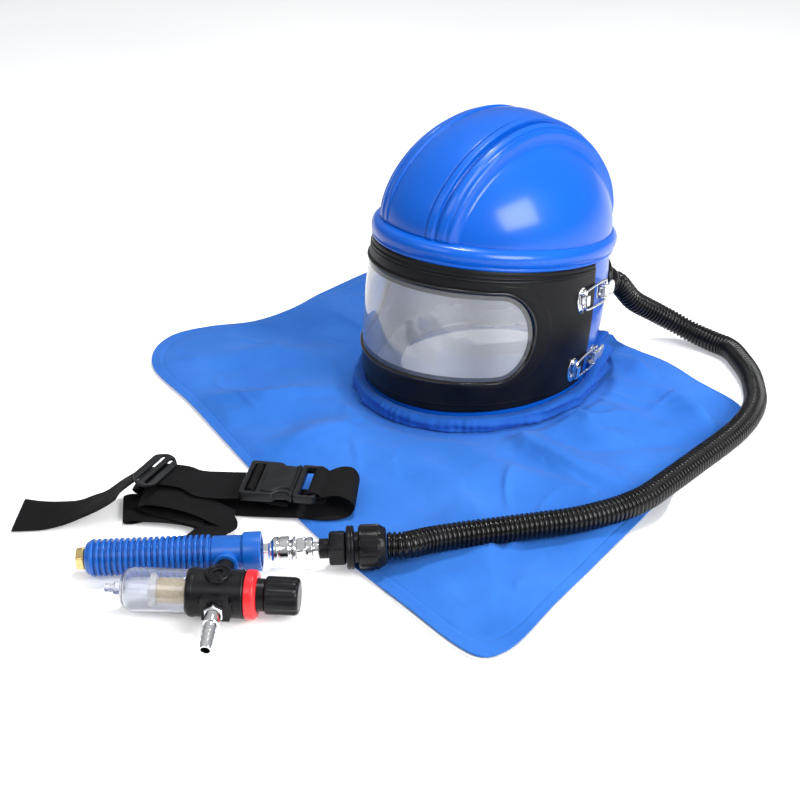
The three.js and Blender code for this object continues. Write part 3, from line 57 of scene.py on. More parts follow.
def sind(a):
    """Sine of an angle in degrees."""
    return np.sin(np.radians(a))


def cosd(a):
    """Cosine of an angle in degrees."""
    return np.cos(np.radians(a))


CAMERA_AT = (982.63, -850.45, 766.63)
CAMERA_AZIMUTH, CAMERA_ELEVATION, CAMERA_LENS = 48.0, 29.0, 60.75
camera = bpy.data.objects.new("camera", bpy.data.cameras.new("camera"))
bpy.context.scene.collection.objects.link(camera)
camera.location = Vector(CAMERA_AT) / 1000
camera_back = Vector((sind(CAMERA_AZIMUTH) * cosd(CAMERA_ELEVATION),
                      -cosd(CAMERA_AZIMUTH) * cosd(CAMERA_ELEVATION), sind(CAMERA_ELEVATION)))
camera.rotation_mode = "QUATERNION"
camera.rotation_quaternion = (-camera_back).to_track_quat("-Z", "Y")
camera.data.lens = CAMERA_LENS
camera.data.sensor_width = 36.0
camera.data.clip_start, camera.data.clip_end = 0.05, 50.0
bpy.context.scene.camera = camera

# Air hose
# A corrugated black rubber hose, pushed on the port's spigot behind the helmet and held by the gland at
# its other end. Its middle line repeats the solid's route, and its radius rises and falls once in each
# pitch.
GAP = 0.3
HELMET_X, HELMET_Y = -28.8, 189.0
RIM_HALF_LENGTH, RIM_HALF_WIDTH, RIM_HEIGHT = 150.0, 127.0, 24.0
BROW_HALF_LENGTH, BROW_HALF_WIDTH, BROW_SHIFT, BROW_RISE = 158.0, 121.0, -5.0, 149.0
LEAN = 9.5
CHEEK_BULGE = 5.0
FRAME_WALL = 3.7
SHELL_OUT = -FRAME_WALL - GAP
HOSE_RADIUS, HOSE_PITCH = 13.25, 4.9
PORT_ANGLE, PORT_SHARE, PORT_HEADING = 154.0, 0.62, (0.25, 0.88, -0.4)
PORT_SPIGOT_LENGTH = 17.0


def unit(v):
    """Vectors divided by their own lengths."""
    v = np.asarray(v, float)
    return v / np.linalg.norm(v, axis=-1, keepdims=True)


def place(points):
    """Millimetres in the helmet's frame to metres in the row frame."""
    return (np.asarray(points, float) + (HELMET_X, HELMET_Y, 0.0)) / 1000.0


def smooth_line(points, count, closed=False, power=0.5):
    """A centripetal Catmull-Rom line through the points, sampled evenly by length."""
    p = np.asarray(points, float)
    if closed:
        p = np.concatenate([p[-2:], p, p[:3]])
    else:
        p = np.concatenate([[2 * p[0] - p[1]], p, [2 * p[-1] - p[-2]]])
    gaps = np.maximum(np.linalg.norm(np.diff(p, axis=0), axis=1), 1e-6) ** power
    knots = np.concatenate([[0.0], np.cumsum(gaps)])
    out = []
    first, last = (2, len(p) - 3) if closed else (1, len(p) - 2)
    for i in range(first, last):
        t = np.linspace(knots[i], knots[i + 1], 24, endpoint=False)[:, None]
        t0, t1, t2, t3 = knots[i - 1:i + 3]
        a1 = (t1 - t) / (t1 - t0) * p[i - 1] + (t - t0) / (t1 - t0) * p[i]
        a2 = (t2 - t) / (t2 - t1) * p[i] + (t - t1) / (t2 - t1) * p[i + 1]
        a3 = (t3 - t) / (t3 - t2) * p[i + 1] + (t - t2) / (t3 - t2) * p[i + 2]
        b1 = (t2 - t) / (t2 - t0) * a1 + (t - t0) / (t2 - t0) * a2
        b2 = (t3 - t) / (t3 - t1) * a2 + (t - t1) / (t3 - t1) * a3
        out.append((t2 - t) / (t2 - t1) * b1 + (t - t1) / (t2 - t1) * b2)
    out.append(p[last][None])
    line = np.concatenate(out)
    length = np.concatenate([[0.0], np.cumsum(np.linalg.norm(np.diff(line, axis=0), axis=1))])
    at = np.linspace(0, length[-1], count, endpoint=not closed)
    return np.stack([np.interp(at, length, line[:, k]) for k in range(p.shape[1])], -1)


def line_frame(x, y, z, heading, slope=0.0):
    """Origin and axes of a turned part: its own +Y runs along the heading and rises by the slope."""
    along = np.array([cosd(heading) * cosd(slope), sind(heading) * cosd(slope), sind(slope)])
    side = np.array([sind(heading), -cosd(heading), 0.0])
    return np.array([x, y, z], float), np.stack([side, along, np.cross(side, along)])


def within(own_frame, local):
    """Points of a part's own frame in the helmet's frame."""
    origin, axes = own_frame
    return origin + np.asarray(local, float) @ axes


def leaning(x, y, rise):
    """A point that stands above the rim and is turned forward by the lean about the rim's cross axis."""
    c, s = cosd(LEAN), sind(LEAN)
    return np.stack(np.broadcast_arrays(x, y * c + rise * s, RIM_HEIGHT + rise * c - y * s), -1)


def face_point(theta, share):
    """A straight line from the rim's ellipse up to the leaning brow's ellipse, at one angle."""
    theta, share = np.broadcast_arrays(np.asarray(theta, float), np.asarray(share, float))
    low = np.stack([RIM_HALF_WIDTH * sind(theta), -RIM_HALF_LENGTH * cosd(theta),
                    0 * theta + RIM_HEIGHT], -1)
    high = leaning(BROW_HALF_WIDTH * sind(theta), BROW_SHIFT - BROW_HALF_LENGTH * cosd(theta), BROW_RISE)
    return low + (high - low) * share[..., None]


def face_normal(theta, share):
    """Outward direction: the step round the wall crossed with the step up it."""
    theta = np.asarray(theta, float)
    level = 0 * np.asarray(share, float)
    along = face_point(theta + 1, share) - face_point(theta - 1, share)
    up = face_point(theta, level + 1) - face_point(theta, level)
    return unit(np.cross(along, up))


def face(theta, share, out):
    """The wall moved out along its normal by out and a bulge of 4 s (1 - s) of the share s."""
    share = np.asarray(share, float)
    bulge = CHEEK_BULGE * 4 * share * (1 - share)
    return face_point(theta, share) + face_normal(theta, share) * np.asarray(out + bulge)[..., None]


def quads_of(rows, cols, close_rows=False, close_cols=False):
    """Corner numbers of a grid's cells, with its ends joined where asked."""
    r = np.arange(rows if close_rows else rows - 1)[:, None]
    c = np.arange(cols if close_cols else cols - 1)[None, :]
    r2, c2 = (r + 1) % rows, (c + 1) % cols
    return np.stack([r * cols + c, r * cols + c2, r2 * cols + c2, r2 * cols + c], -1).reshape(-1, 4)


def sheet_part(points, close_rows=False, close_cols=False):
    """A grid of points as a part: points, quads and other polygons."""
    rows, cols = points.shape[:2]
    return points.reshape(-1, 3), quads_of(rows, cols, close_rows, close_cols), []


def join_parts(parts):
    """Parts put one after another, with their corner numbers moved on."""
    points, quads, others, start = [], [], [], 0
    for p, q, o in parts:
        points.append(np.asarray(p, float).reshape(-1, 3))
        quads.append(np.asarray(q, int).reshape(-1, 4) + start)
        others += [[start + i for i in polygon] for polygon in o]
        start += len(points[-1])
    return np.concatenate(points), np.concatenate(quads), others


def piece(name, parts, finish, body="hood", replaces=(), sharp=38.0, uv=None):
    """One object from parts in millimetres, welded, its normals outward, sharp above an angle."""
    points, quads, others = join_parts(parts)
    mesh = bpy.data.meshes.new(name)
    sizes = np.array([4] * len(quads) + [len(o) for o in others], np.int32)
    loops = np.concatenate([quads.ravel()] + [np.array(o) for o in others]).astype(np.int32)
    mesh.vertices.add(len(points))
    mesh.vertices.foreach_set("co", place(points).astype(np.float32).ravel())
    mesh.loops.add(len(loops))
    mesh.loops.foreach_set("vertex_index", loops)
    mesh.polygons.add(len(sizes))
    mesh.polygons.foreach_set("loop_start", np.concatenate([[0], np.cumsum(sizes)[:-1]]).astype(np.int32))
    if uv is not None:
        layer = mesh.uv_layers.new(name="UVMap")
        layer.data.foreach_set("uv", np.asarray(uv, np.float32)[loops].ravel())
    mesh.update(calc_edges=True)
    mesh.validate()
    edit = bmesh.new()
    edit.from_mesh(mesh)
    bmesh.ops.remove_doubles(edit, verts=edit.verts, dist=2e-6)
    bmesh.ops.dissolve_degenerate(edit, edges=edit.edges, dist=1e-7)
    bmesh.ops.recalc_face_normals(edit, faces=edit.faces)
    edit.to_mesh(mesh)
    edit.free()
    mesh.polygons.foreach_set("use_smooth", np.ones(len(mesh.polygons), bool))
    mesh.set_sharp_from_angle(angle=math.radians(sharp))
    mesh.materials.append(finish)
    made = bpy.data.objects.new(name, mesh)
    bpy.context.scene.collection.objects.link(made)
    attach(made, body)
    if replaces:
        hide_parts(*replaces)
    return made


def node(tree, kind, inputs=None, **settings):
    """One shader node: sockets given as inputs are linked, and values are set."""
    made = tree.nodes.new(kind)
    for key, value in settings.items():
        setattr(made, key, value)
    for key, value in (inputs or {}).items():
        if isinstance(value, bpy.types.NodeSocket):
            tree.links.new(value, made.inputs[key])
        else:
            made.inputs[key].default_value = value
    return made


def new_group(name, inputs, outputs):
    """An empty shader group with named inputs and outputs."""
    group = bpy.data.node_groups.new(name, "ShaderNodeTree")
    for label, kind, value in inputs:
        group.interface.new_socket(label, in_out="INPUT", socket_type=kind).default_value = value
    for label, kind in outputs:
        group.interface.new_socket(label, in_out="OUTPUT", socket_type=kind)
    return group, group.nodes.new("NodeGroupInput"), group.nodes.new("NodeGroupOutput")


def make_mottle():
    """Cloudy variation between two colours, from a noise in the object's own space."""
    group, given, result = new_group(
        "mottle",
        [("Low", "NodeSocketColor", (0, 0, 0, 1)), ("High", "NodeSocketColor", (1, 1, 1, 1)),
         ("Scale", "NodeSocketFloat", 50.0), ("Detail", "NodeSocketFloat", 3.0),
         ("Stretch", "NodeSocketVector", (1, 1, 1))],
        [("Colour", "NodeSocketColor"), ("Value", "NodeSocketFloat")])
    where = node(group, "ShaderNodeTexCoord").outputs["Object"]
    scaled = node(group, "ShaderNodeVectorMath", {0: where, 1: given.outputs["Stretch"]},
                  operation="MULTIPLY")
    noise = node(group, "ShaderNodeTexNoise", {
        "Vector": scaled.outputs[0], "Scale": given.outputs["Scale"], "Detail": given.outputs["Detail"]})
    value = node(group, "ShaderNodeMapRange",
                 {"Value": noise.outputs[0], "From Min": 0.3, "From Max": 0.7}).outputs[0]
    mixed = node(group, "ShaderNodeMix", {
        "Factor": value, "A": given.outputs["Low"], "B": given.outputs["High"]}, data_type="RGBA")
    for socket in mixed.outputs:
        if socket.type == "RGBA":
            group.links.new(socket, result.inputs["Colour"])
    group.links.new(value, result.inputs["Value"])
    return group


MOTTLE = make_mottle()


def grouped(tree, group, inputs):
    """A shader group placed in a material with its own values."""
    made = tree.nodes.new("ShaderNodeGroup")
    made.node_tree = group
    for key, value in inputs.items():
        if isinstance(value, bpy.types.NodeSocket):
            tree.links.new(value, made.inputs[key])
        else:
            made.inputs[key].default_value = value
    return made


def finish_of(name, low, high, rough, mottle=40.0, detail=3.0, stretch=(1, 1, 1), grain=None, **sockets):
    """A finish with cloudy colour and roughness, and a fine grain of (scale, distance, strength)."""
    made = bpy.data.materials.new(name)
    made.use_nodes = True
    tree = made.node_tree
    shader = tree.nodes["Principled BSDF"]
    cloud = grouped(tree, MOTTLE, {
        "Low": (*low, 1), "High": (*high, 1), "Scale": mottle, "Detail": detail, "Stretch": stretch})
    tree.links.new(cloud.outputs["Colour"], shader.inputs["Base Color"])
    spread = node(tree, "ShaderNodeMapRange", {
        "Value": cloud.outputs["Value"], "To Min": rough[0], "To Max": rough[1]})
    tree.links.new(spread.outputs[0], shader.inputs["Roughness"])
    if grain:
        fine = grouped(tree, MOTTLE, {"Scale": grain[0], "Detail": 4.0, "Stretch": (1, 1, 1)})
        relief = node(tree, "ShaderNodeBump", {
            "Strength": grain[2], "Distance": grain[1], "Height": fine.outputs["Value"]})
        tree.links.new(relief.outputs[0], shader.inputs["Normal"])
    for key, value in sockets.items():
        shader.inputs[key.replace("_", " ")].default_value = value
    return made


HOSE_BLACK = finish_of("hose_black", (0.003, 0.003, 0.003), (0.008, 0.008, 0.009), (0.16, 0.26),
                       mottle=40.0, grain=(700.0, 0.0001, 0.1), Specular_IOR_Level=0.3)
port_base = face(PORT_ANGLE, PORT_SHARE, SHELL_OUT)
port_axis = unit(PORT_HEADING)
HOSE_POINTS = [
    (70, 198, 62), (84, 224, 43), (101, 242, 29.5), (123, 254, 19), (149, 259, 14.5), (176, 259, 14),
    (206, 242, 14), (234, 221, 14), (260, 193, 14.5), (283, 161, 18), (300, 124, 20), (310, 88, 21),
    (316, 51, 22), (320, 10, 22), (326, -52, 22), (329, -93, 22), (325, -125, 22), (317, -153, 22),
    (307, -178, 22), (295, -200, 22), (272, -241, 22), (249, -285, 23), (240, -308, 24.5),
]
COOLER_RADIUS = 17.8
AIR_LINE = line_frame(34, -569, COOLER_RADIUS + 0.8, 49.6, 1.7)
GLAND_END = 292.2
hose_start = port_base + port_axis * (PORT_SPIGOT_LENGTH + GAP)
hose_line = smooth_line(
    [hose_start, hose_start + port_axis * 10, *HOSE_POINTS,
     within(AIR_LINE, (0, GLAND_END + 18, 0)), within(AIR_LINE, (0, GLAND_END + GAP, 0))], 2400)
hose_length = float(np.linalg.norm(np.diff(hose_line, axis=0), axis=1).sum())
ridges = round(hose_length / HOSE_PITCH)
rings = ridges * 12 + 1
at = np.linspace(0, 1, rings)
spots = np.linspace(0, 1, len(hose_line))
centre = np.stack([np.interp(at, spots, hose_line[:, k]) for k in range(3)], -1)
along = unit(np.gradient(centre, axis=0))
side = unit(np.cross(along, (0, 0, 1.0)))
over = np.cross(side, along)
wave = 0.5 + 0.5 * np.cos(2 * np.pi * ridges * at + np.pi)
radius = HOSE_RADIUS - 2.1 * (1 - wave) ** 2.2
turn = np.linspace(0, 2 * np.pi, 32, endpoint=False)[None, :, None]
spoke = np.cos(turn) * side[:, None] + np.sin(turn) * over[:, None]
surface = centre[:, None] + radius[:, None, None] * spoke
flat, quads, _ = sheet_part(surface, close_cols=True)
caps = [list(range(32)), list(range(len(flat) - 32, len(flat)))]
hose = piece("hose_corrugated", [(flat, quads, caps)], HOSE_BLACK, replaces=["air_hose"], sharp=180)

# Hose end
# Gland nut, flange, hexagon adapter and plug are turned and moulded pieces that are screwed to the hose
# and go with it. The nut has twelve grip ribs.

def ease(x, low, high):
    """Nought below low, one above high, and three t squared less two t cubed between."""
    t = np.clip((x - low) / (high - low), 0.0, 1.0)
    return t * t * (3 - 2 * t)


def rounded(rows, radius, closed=False, steps=4):
    """Softens the corners of a line of points by short quadratic curves."""
    p = np.asarray(rows, float)
    count = len(p)
    out = []
    for i in range(count):
        if not closed and i in (0, count - 1):
            out.append(p[i])
            continue
        a, b, c = p[i - 1], p[i], p[(i + 1) % count]
        la, lc = np.linalg.norm(a - b), np.linalg.norm(c - b)
        if la < 1e-6 or lc < 1e-6:
            out.append(b)
            continue
        start = b + (a - b) * min(radius / la, 0.45)
        end = b + (c - b) * min(radius / lc, 0.45)
        for t in np.linspace(0, 1, steps):
            out.append((1 - t) ** 2 * start + 2 * t * (1 - t) * b + t * t * end)
    return np.array(out)


def turned(own_frame, rows, sides=64, soft=0.5, ribs=None, closed=False):
    """Rings of a profile of (at, radius) about the frame's Y; ribs(angle, at) scales the radius."""
    p = rounded(rows, soft, closed) if soft else np.asarray(rows, float)
    angle = np.linspace(0, 360, sides, endpoint=False)
    radius = p[:, 1][:, None] * np.ones(sides)
    if ribs is not None:
        radius = radius * ribs(angle[None, :], p[:, 0][:, None])
    local = np.stack([radius * cosd(angle), p[:, 0][:, None] + 0 * radius, radius * sind(angle)], -1)
    points, quads, _ = sheet_part(local, close_rows=closed, close_cols=True)
    caps = [] if closed else [list(range(sides)), list(range(len(points) - sides, len(points)))]
    return within(own_frame, points), quads, caps


PLASTIC_BLACK = finish_of("plastic_black", (0.004, 0.004, 0.005), (0.008, 0.008, 0.009), (0.26, 0.38),
                          mottle=60.0, grain=(1400.0, 0.0002, 0.12), Specular_IOR_Level=0.18)
CHROME = finish_of("chrome", (0.74, 0.75, 0.77), (0.86, 0.87, 0.88), (0.05, 0.16), mottle=120.0,
                   grain=(1500.0, 0.0001, 0.06), Metallic=1.0)


def gland_ribs(angle, at):
    """Twelve flat-topped ribs: a clipped cosine, faded out towards the nut's ends."""
    groove = np.clip(cosd(angle * 12) * 3.2, -1, 1)
    inside = ease(at, 266.0, 268.5) * (1 - ease(at, 284.0, 287.0))
    return 1 + 0.035 * groove * inside


gland = piece("gland_ribbed", [
    turned(AIR_LINE, [(262.1, 14.6), (266.4, 14.6)], soft=0),
    turned(AIR_LINE, [(265.4, 15), (265.4, 19.4), (267.4, 20.7), (284.6, 20.7), (289.5, 18.6),
                      (292.1, 16.6), (292.1, 12.6)],
           sides=192, soft=1.6, ribs=gland_ribs),
], PLASTIC_BLACK, replaces=["gland_nut"])
flange = piece("gland_flange_ring", [
    turned(AIR_LINE, [(254.1, 8), (254.1, 19.6), (255.5, 20.8), (257.2, 20.8), (257.6, 20.2),
                      (258.2, 20.2), (258.6, 20.8), (260.3, 20.8), (261.6, 19.6),
                      (261.6, 8)], sides=96, soft=0.7),
], PLASTIC_BLACK, replaces=["gland_flange"])


def hexagon(reach):
    """Ribs that turn a round ring into a hexagon with rounded corners."""
    def ribs(angle, at):
        off = (angle + 30) % 60 - 30
        return np.minimum(math.cos(math.radians(30)) / cosd(off), reach)
    return ribs


adapter = piece("adapter_hex", [
    turned(AIR_LINE, [(228.3, 6), (228.3, 9.4), (237.0, 9.4), (238.0, 9.4)], soft=0.6),
    turned(AIR_LINE, [(237.7, 8), (237.7, 16.2), (239.2, 17.9), (252.0, 17.9), (253.6, 16.6), (253.6, 8)],
           sides=96, soft=0.8, ribs=hexagon(0.985)),
], PLASTIC_BLACK, replaces=["hose_adapter"])
plug_part = piece("coupler_tail", [
    turned(AIR_LINE, [(207.0, 6), (207.0, 11.4), (208.4, 12.7), (214.8, 12.7), (216.0, 11.6), (216.0, 6)],
           sides=96, soft=0.5, ribs=hexagon(0.975)),
    turned(AIR_LINE, [(215.9, 6), (215.9, 10.4), (217.0, 11.2), (221.8, 11.2), (222.8, 10.2),
                      (222.8, 6)], soft=0.5),
    turned(AIR_LINE, [(222.6, 4), (222.6, 6.9), (227.8, 6.9), (227.8, 4)], soft=0.3),
], CHROME, replaces=["coupler_plug"])


# Dome
# The top of the moulded blue plastic shell, with a raised crest over the crown from brow to back.
# Stations run across the head and steps from the brow over the top; the inside is the same form without
# the crest.
SHELL_WALL = 3.0
DOME_HALF_LENGTH, DOME_HALF_WIDTH, DOME_SHIFT, DOME_RISE = 149.0, 117.0, -3.0, 117.0
DOME_FULLNESS = 1.8
BAND_HEIGHT = 23.0
CREST_HALF_WIDTH, CREST_HEIGHT, CREST_FOOT = 60.0, 14.0, 4.0
CREST_ACROSS = (0.0, 0.455, 0.475, 0.5, 0.6, 0.625, 0.655, 0.68, 0.72, 0.79, 0.815, 0.84, 0.87, 0.9,
                0.95, 1.0, 1.03)
CREST_SHARE = (0.8, 0.8, 0.62, 0.97, 1.0, 0.62, 0.52, 0.88, 1.0, 0.97, 0.82, 0.82, 0.93, 0.86, 0.4,
               0.08, 0.0)


def crest_share(across):
    """The crest's height as a share, from straight lines between the section's stations."""
    return np.interp(np.abs(across), CREST_ACROSS, CREST_SHARE)


def dome_point(alpha, psi, inset):
    """The superellipsoid of the opening words; the crest is added along the normal."""
    alpha, psi = np.broadcast_arrays(np.asarray(alpha, float), np.asarray(psi, float))
    ca, sa, cp, sp = cosd(alpha), sind(alpha), cosd(psi), sind(psi)
    normal = unit(np.stack([sa / DOME_HALF_WIDTH, -ca * cp / DOME_HALF_LENGTH, ca * sp / DOME_RISE], -1))
    high = np.clip(ca * sp, 0, 1)
    wide = np.sqrt(np.clip(1 - high ** 2, 1e-9, 1)) ** (2 / DOME_FULLNESS - 1)
    crest = CREST_FOOT + (CREST_HEIGHT - CREST_FOOT) * np.clip(sp, 0, 1) ** 0.7
    proud = 0.0 if inset > 0 else crest * crest_share(DOME_HALF_WIDTH * sa / CREST_HALF_WIDTH)
    at = np.stack([(DOME_HALF_WIDTH - inset) * sa * wide,
                   DOME_SHIFT - (DOME_HALF_LENGTH - inset) * ca * cp * wide,
                   (DOME_RISE - inset) * high ** (2 / DOME_FULLNESS)], -1)
    at = at + normal * np.asarray(proud)[..., None]
    return leaning(at[..., 0], at[..., 1], BROW_RISE + BAND_HEIGHT + at[..., 2])


def walled(lower, upper, round_cols=False):
    """A closed wall between two grids of points."""
    skins = [lower, upper, np.stack([lower[0], upper[0]]), np.stack([lower[-1], upper[-1]])]
    parts = [sheet_part(s, close_cols=round_cols) for s in skins]
    if not round_cols:
        parts.append(sheet_part(np.stack([lower[:, 0], upper[:, 0]])))
        parts.append(sheet_part(np.stack([lower[:, -1], upper[:, -1]])))
    return parts


SHELL_BLUE = finish_of("shell_blue", (0.001, 0.083, 0.46), (0.002, 0.10, 0.53), (0.3, 0.38), mottle=7.0,
                       grain=(260.0, 0.0002, 0.06), Specular_IOR_Level=0.15, Coat_Weight=0.4,
                       Coat_Roughness=0.17)
crest_lines = np.degrees(np.arcsin(np.linspace(0, 1.08, 130) * CREST_HALF_WIDTH / DOME_HALF_WIDTH))
half_stations = np.concatenate([crest_lines, np.linspace(crest_lines[-1], 90, 60)[1:]])
stations = np.concatenate([-half_stations[:0:-1], half_stations])[:, None]
steps = np.linspace(0, 180, 121)[None, :]
piece("helmet_dome", walled(dome_point(stations, steps, SHELL_WALL + 1),
                            dome_point(stations, steps, 0.0)),
      SHELL_BLUE, replaces=["helmet_shell"], sharp=50)

# Brow band
# A round bulge moulded in the shell above two thin steps; its top edge turns in to the foot of the
# dome. A grid of rings: each ring is the brow's ellipse moved out and up by the profile.
SHELL_IN = SHELL_OUT - SHELL_WALL


def band_point(theta, rise, out):
    """The leaning brow's ellipse, made larger by out and raised by rise."""
    return leaning((BROW_HALF_WIDTH + out) * sind(theta),
                   BROW_SHIFT - (BROW_HALF_LENGTH + out) * cosd(theta), rise)


BAND_PROFILE = [(-0.8, -3.0), (0.3, 0.2), (1.4, 0.9), (3.0, 0.9), (3.6, 0.1), (4.3, 0.1), (5.0, 1.2),
                (8.0, 2.3), (12.0, 2.9), (15.5, 2.5), (18.6, 1.2), (20.6, -0.6)]
around = np.linspace(0, 360, 480, endpoint=False)
band_line = rounded(BAND_PROFILE, 0.9, steps=3)
band_rows = [band_point(around, BROW_RISE + rise, out) for rise, out in band_line]
foot = leaning(DOME_HALF_WIDTH * sind(around), DOME_SHIFT - DOME_HALF_LENGTH * cosd(around),
               BROW_RISE + BAND_HEIGHT)
lean_up = leaning(0.0, 0.0, 1.0) - leaning(0.0, 0.0, 0.0)
for part_in, rise in ((0.3, 0.5), (0.6, 0.9), (0.85, 0.7), (1.25, -0.6)):
    band_rows.append(band_rows[len(band_line) - 1] * (1 - part_in) + foot * part_in + lean_up * rise)
inner_rows = [band_point(around, BROW_RISE + rise, SHELL_IN) for rise in (18, 10, -0.8)]
piece("brow_band", [sheet_part(np.array(band_rows + inner_rows), close_rows=True, close_cols=True)],
      SHELL_BLUE, replaces=["helmet_shell"], sharp=60)


# Grids round the window
# The shell and the rubber frame both have the window cut in them, so both are grids that start at its
# edge and end at a rectangle of angles and shares of the wall's height.
WINDOW_REACH, WINDOW_LOW, WINDOW_HIGH, WINDOW_END = 72.5, 0.2, 0.87, 17.0
WINDOW_MID = (WINDOW_LOW + WINDOW_HIGH) / 2
FRAME_HEIGHT = float(np.linalg.norm(face_point(0.0, 1.0) - face_point(0.0, 0.0)))
TIP_SCALE = float(np.linalg.norm(face_point(WINDOW_REACH + 0.5, WINDOW_MID)
                                 - face_point(WINDOW_REACH - 0.5, WINDOW_MID)))


def window_sizes(inset):
    """The window's reach, half height and end in degrees and shares, less an inset in millimetres."""
    reach = WINDOW_REACH - inset / TIP_SCALE
    half = (WINDOW_HIGH - WINDOW_LOW) / 2 - inset / FRAME_HEIGHT
    end = WINDOW_END - inset / TIP_SCALE
    return reach, half, end


def window_half(theta, inset):
    """Half height of the window at an angle, as a share of the frame's height."""
    reach, half, end = window_sizes(inset)
    past = np.clip((np.abs(theta) - (reach - end)) / end, 0, 1)
    return half * np.sqrt(np.clip(1 - past ** 2, 0, 1))


def window_loop(inset, tip=40, straight=80):
    """The window's edge as angles and shares, from the wearer's right tip over the top."""
    reach, half, end = window_sizes(inset)
    turn = np.linspace(0, 90, tip, endpoint=False)
    top = np.concatenate([
        np.stack([-(reach - end) - end * cosd(turn), half * sind(turn)], -1),
        np.stack([np.linspace(-(reach - end), reach - end, straight), np.full(straight, half)], -1),
        np.stack([(reach - end) + end * cosd(turn[::-1]), half * sind(turn[::-1])], -1)])
    loop = np.concatenate([top, (top[1:-1] * (1, -1))[::-1]])
    return loop[:, 0], WINDOW_MID + loop[:, 1]


def surround(inset, reach, low, high, rows, per_side=(150, 70)):
    """Straight lines from the window's edge to a rectangle, matched by their bearing from the middle."""
    x = np.concatenate([np.linspace(-1, 1, per_side[0], endpoint=False), np.ones(per_side[1]),
                        np.linspace(1, -1, per_side[0], endpoint=False), -np.ones(per_side[1])])
    y = np.concatenate([np.ones(per_side[0]), np.linspace(1, -1, per_side[1], endpoint=False),
                        -np.ones(per_side[0]), np.linspace(-1, 1, per_side[1], endpoint=False)])
    outer_theta = reach * x
    outer_share = np.where(y > 0, WINDOW_MID + (high - WINDOW_MID) * y,
                           WINDOW_MID + (WINDOW_MID - low) * y)
    theta, share = window_loop(inset, 120, 240)
    span, rise = theta / WINDOW_REACH, (share - WINDOW_MID) / (WINDOW_HIGH - WINDOW_MID)
    own = np.unwrap(np.arctan2(rise, span))
    wanted = np.arctan2(outer_share - WINDOW_MID, (high - WINDOW_MID) * outer_theta / reach)
    order = np.argsort(np.mod(own, 2 * np.pi))
    angles = np.mod(own, 2 * np.pi)[order]
    inner_theta = np.interp(np.mod(wanted, 2 * np.pi), angles, theta[order], period=2 * np.pi)
    inner_share = np.interp(np.mod(wanted, 2 * np.pi), angles, share[order], period=2 * np.pi)
    s = np.asarray(rows)[:, None]
    return inner_theta + (outer_theta - inner_theta) * s, inner_share + (outer_share - inner_share) * s, s


def flat_length(theta, share, s):
    """Distance from the window's edge in millimetres, along each line of the grid."""
    full = np.hypot((theta[-1] - theta[0]) * TIP_SCALE, (share[-1] - share[0]) * FRAME_HEIGHT)
    return s * full


# Helmet wall below the band
# The same blue plastic, 3 mm thick. The part behind the window frame is a grid round the window; the
# sides, the back and the upright skirt at the foot are plain grids.
SKIRT_BOTTOM = 6.0


def rim(theta, height, out):
    """The foot of the wall at a height, moved out along its normal."""
    flat = face(theta, 0.0 * np.asarray(theta, float), out)
    flat[..., 2] = height
    return flat


wall_rows = np.linspace(0, 1, 12)
theta, share, _ = surround(-1.0, WINDOW_REACH + 8, 0.0, 1.0, wall_rows)
front_wall = walled(face(theta, share, SHELL_IN), face(theta, share, SHELL_OUT), round_cols=True)
theta = np.linspace(WINDOW_REACH + 8, 360 - WINDOW_REACH - 8, 220)[None, :]
share = np.linspace(0, 1, 40)[:, None]
back_wall = walled(face(theta, share, SHELL_IN), face(theta, share, SHELL_OUT))
around_row = np.linspace(0, 360, 360, endpoint=False)[None, :]
heights = np.linspace(SKIRT_BOTTOM, RIM_HEIGHT, 6)[:, None]
skirt = walled(rim(around_row + 0 * heights, heights, SHELL_IN),
               rim(around_row + 0 * heights, heights, SHELL_OUT), True)
piece("helmet_wall", front_wall + back_wall + skirt, SHELL_BLUE, replaces=["helmet_shell"])

# Rubber window frame
# A thick soft sheet with rolled edges, a double line under its top edge, a lip along its foot and a
# raised panel that follows the window's ends. The latches draw it against the shell.
FRAME_REACH = 107.0


def bell(x, centre, width):
    """One at the centre, falling as e to the minus square of the distance over the width."""
    return np.exp(-(((x - centre) / width) ** 2))


RUBBER = finish_of("frame_rubber", (0.003, 0.003, 0.0035), (0.007, 0.007, 0.008), (0.32, 0.48),
                   mottle=25.0, grain=(900.0, 0.0002, 0.15), Specular_IOR_Level=0.16)
frame_rows = np.unique(np.concatenate([[0, 0.004, 0.01, 0.02, 0.035], np.linspace(0.05, 0.93, 64),
                                       [0.95, 0.965, 0.978, 0.988, 0.995, 1.0]]))
theta, share, s = surround(0.0, FRAME_REACH, 0.0, 1.0 - GAP / FRAME_HEIGHT, frame_rows, (216, 100))
reach_mm = flat_length(theta, share, s)
top_mm, foot_mm = (1 - share) * FRAME_HEIGHT, share * FRAME_HEIGHT
side_mm = (FRAME_REACH - np.abs(theta)) * TIP_SCALE
edge_mm = np.minimum(np.minimum(top_mm, foot_mm), side_mm)
relief = (-0.9 * (1 - ease(edge_mm, 0.0, 2.2))
          + 0.7 * bell(top_mm, 8.0, 1.1) - 0.5 * bell(top_mm, 5.8, 0.8) + 0.55 * bell(top_mm, 12.0, 0.8)
          - 0.9 * (1 - ease(foot_mm, 8.0, 9.4)) + 0.4 * bell(foot_mm, 9.6, 0.9)
          + 0.8 * (1 - ease(reach_mm, 17.0, 19.0)) * ease(np.abs(theta), 52.0, 64.0)
          - 0.5 * bell(reach_mm, 1.0, 1.2))
piece("frame_moulded", walled(face(theta, share, -FRAME_WALL), face(theta, share, relief - 0.05), True),
      RUBBER, replaces=["window_frame"], sharp=60)

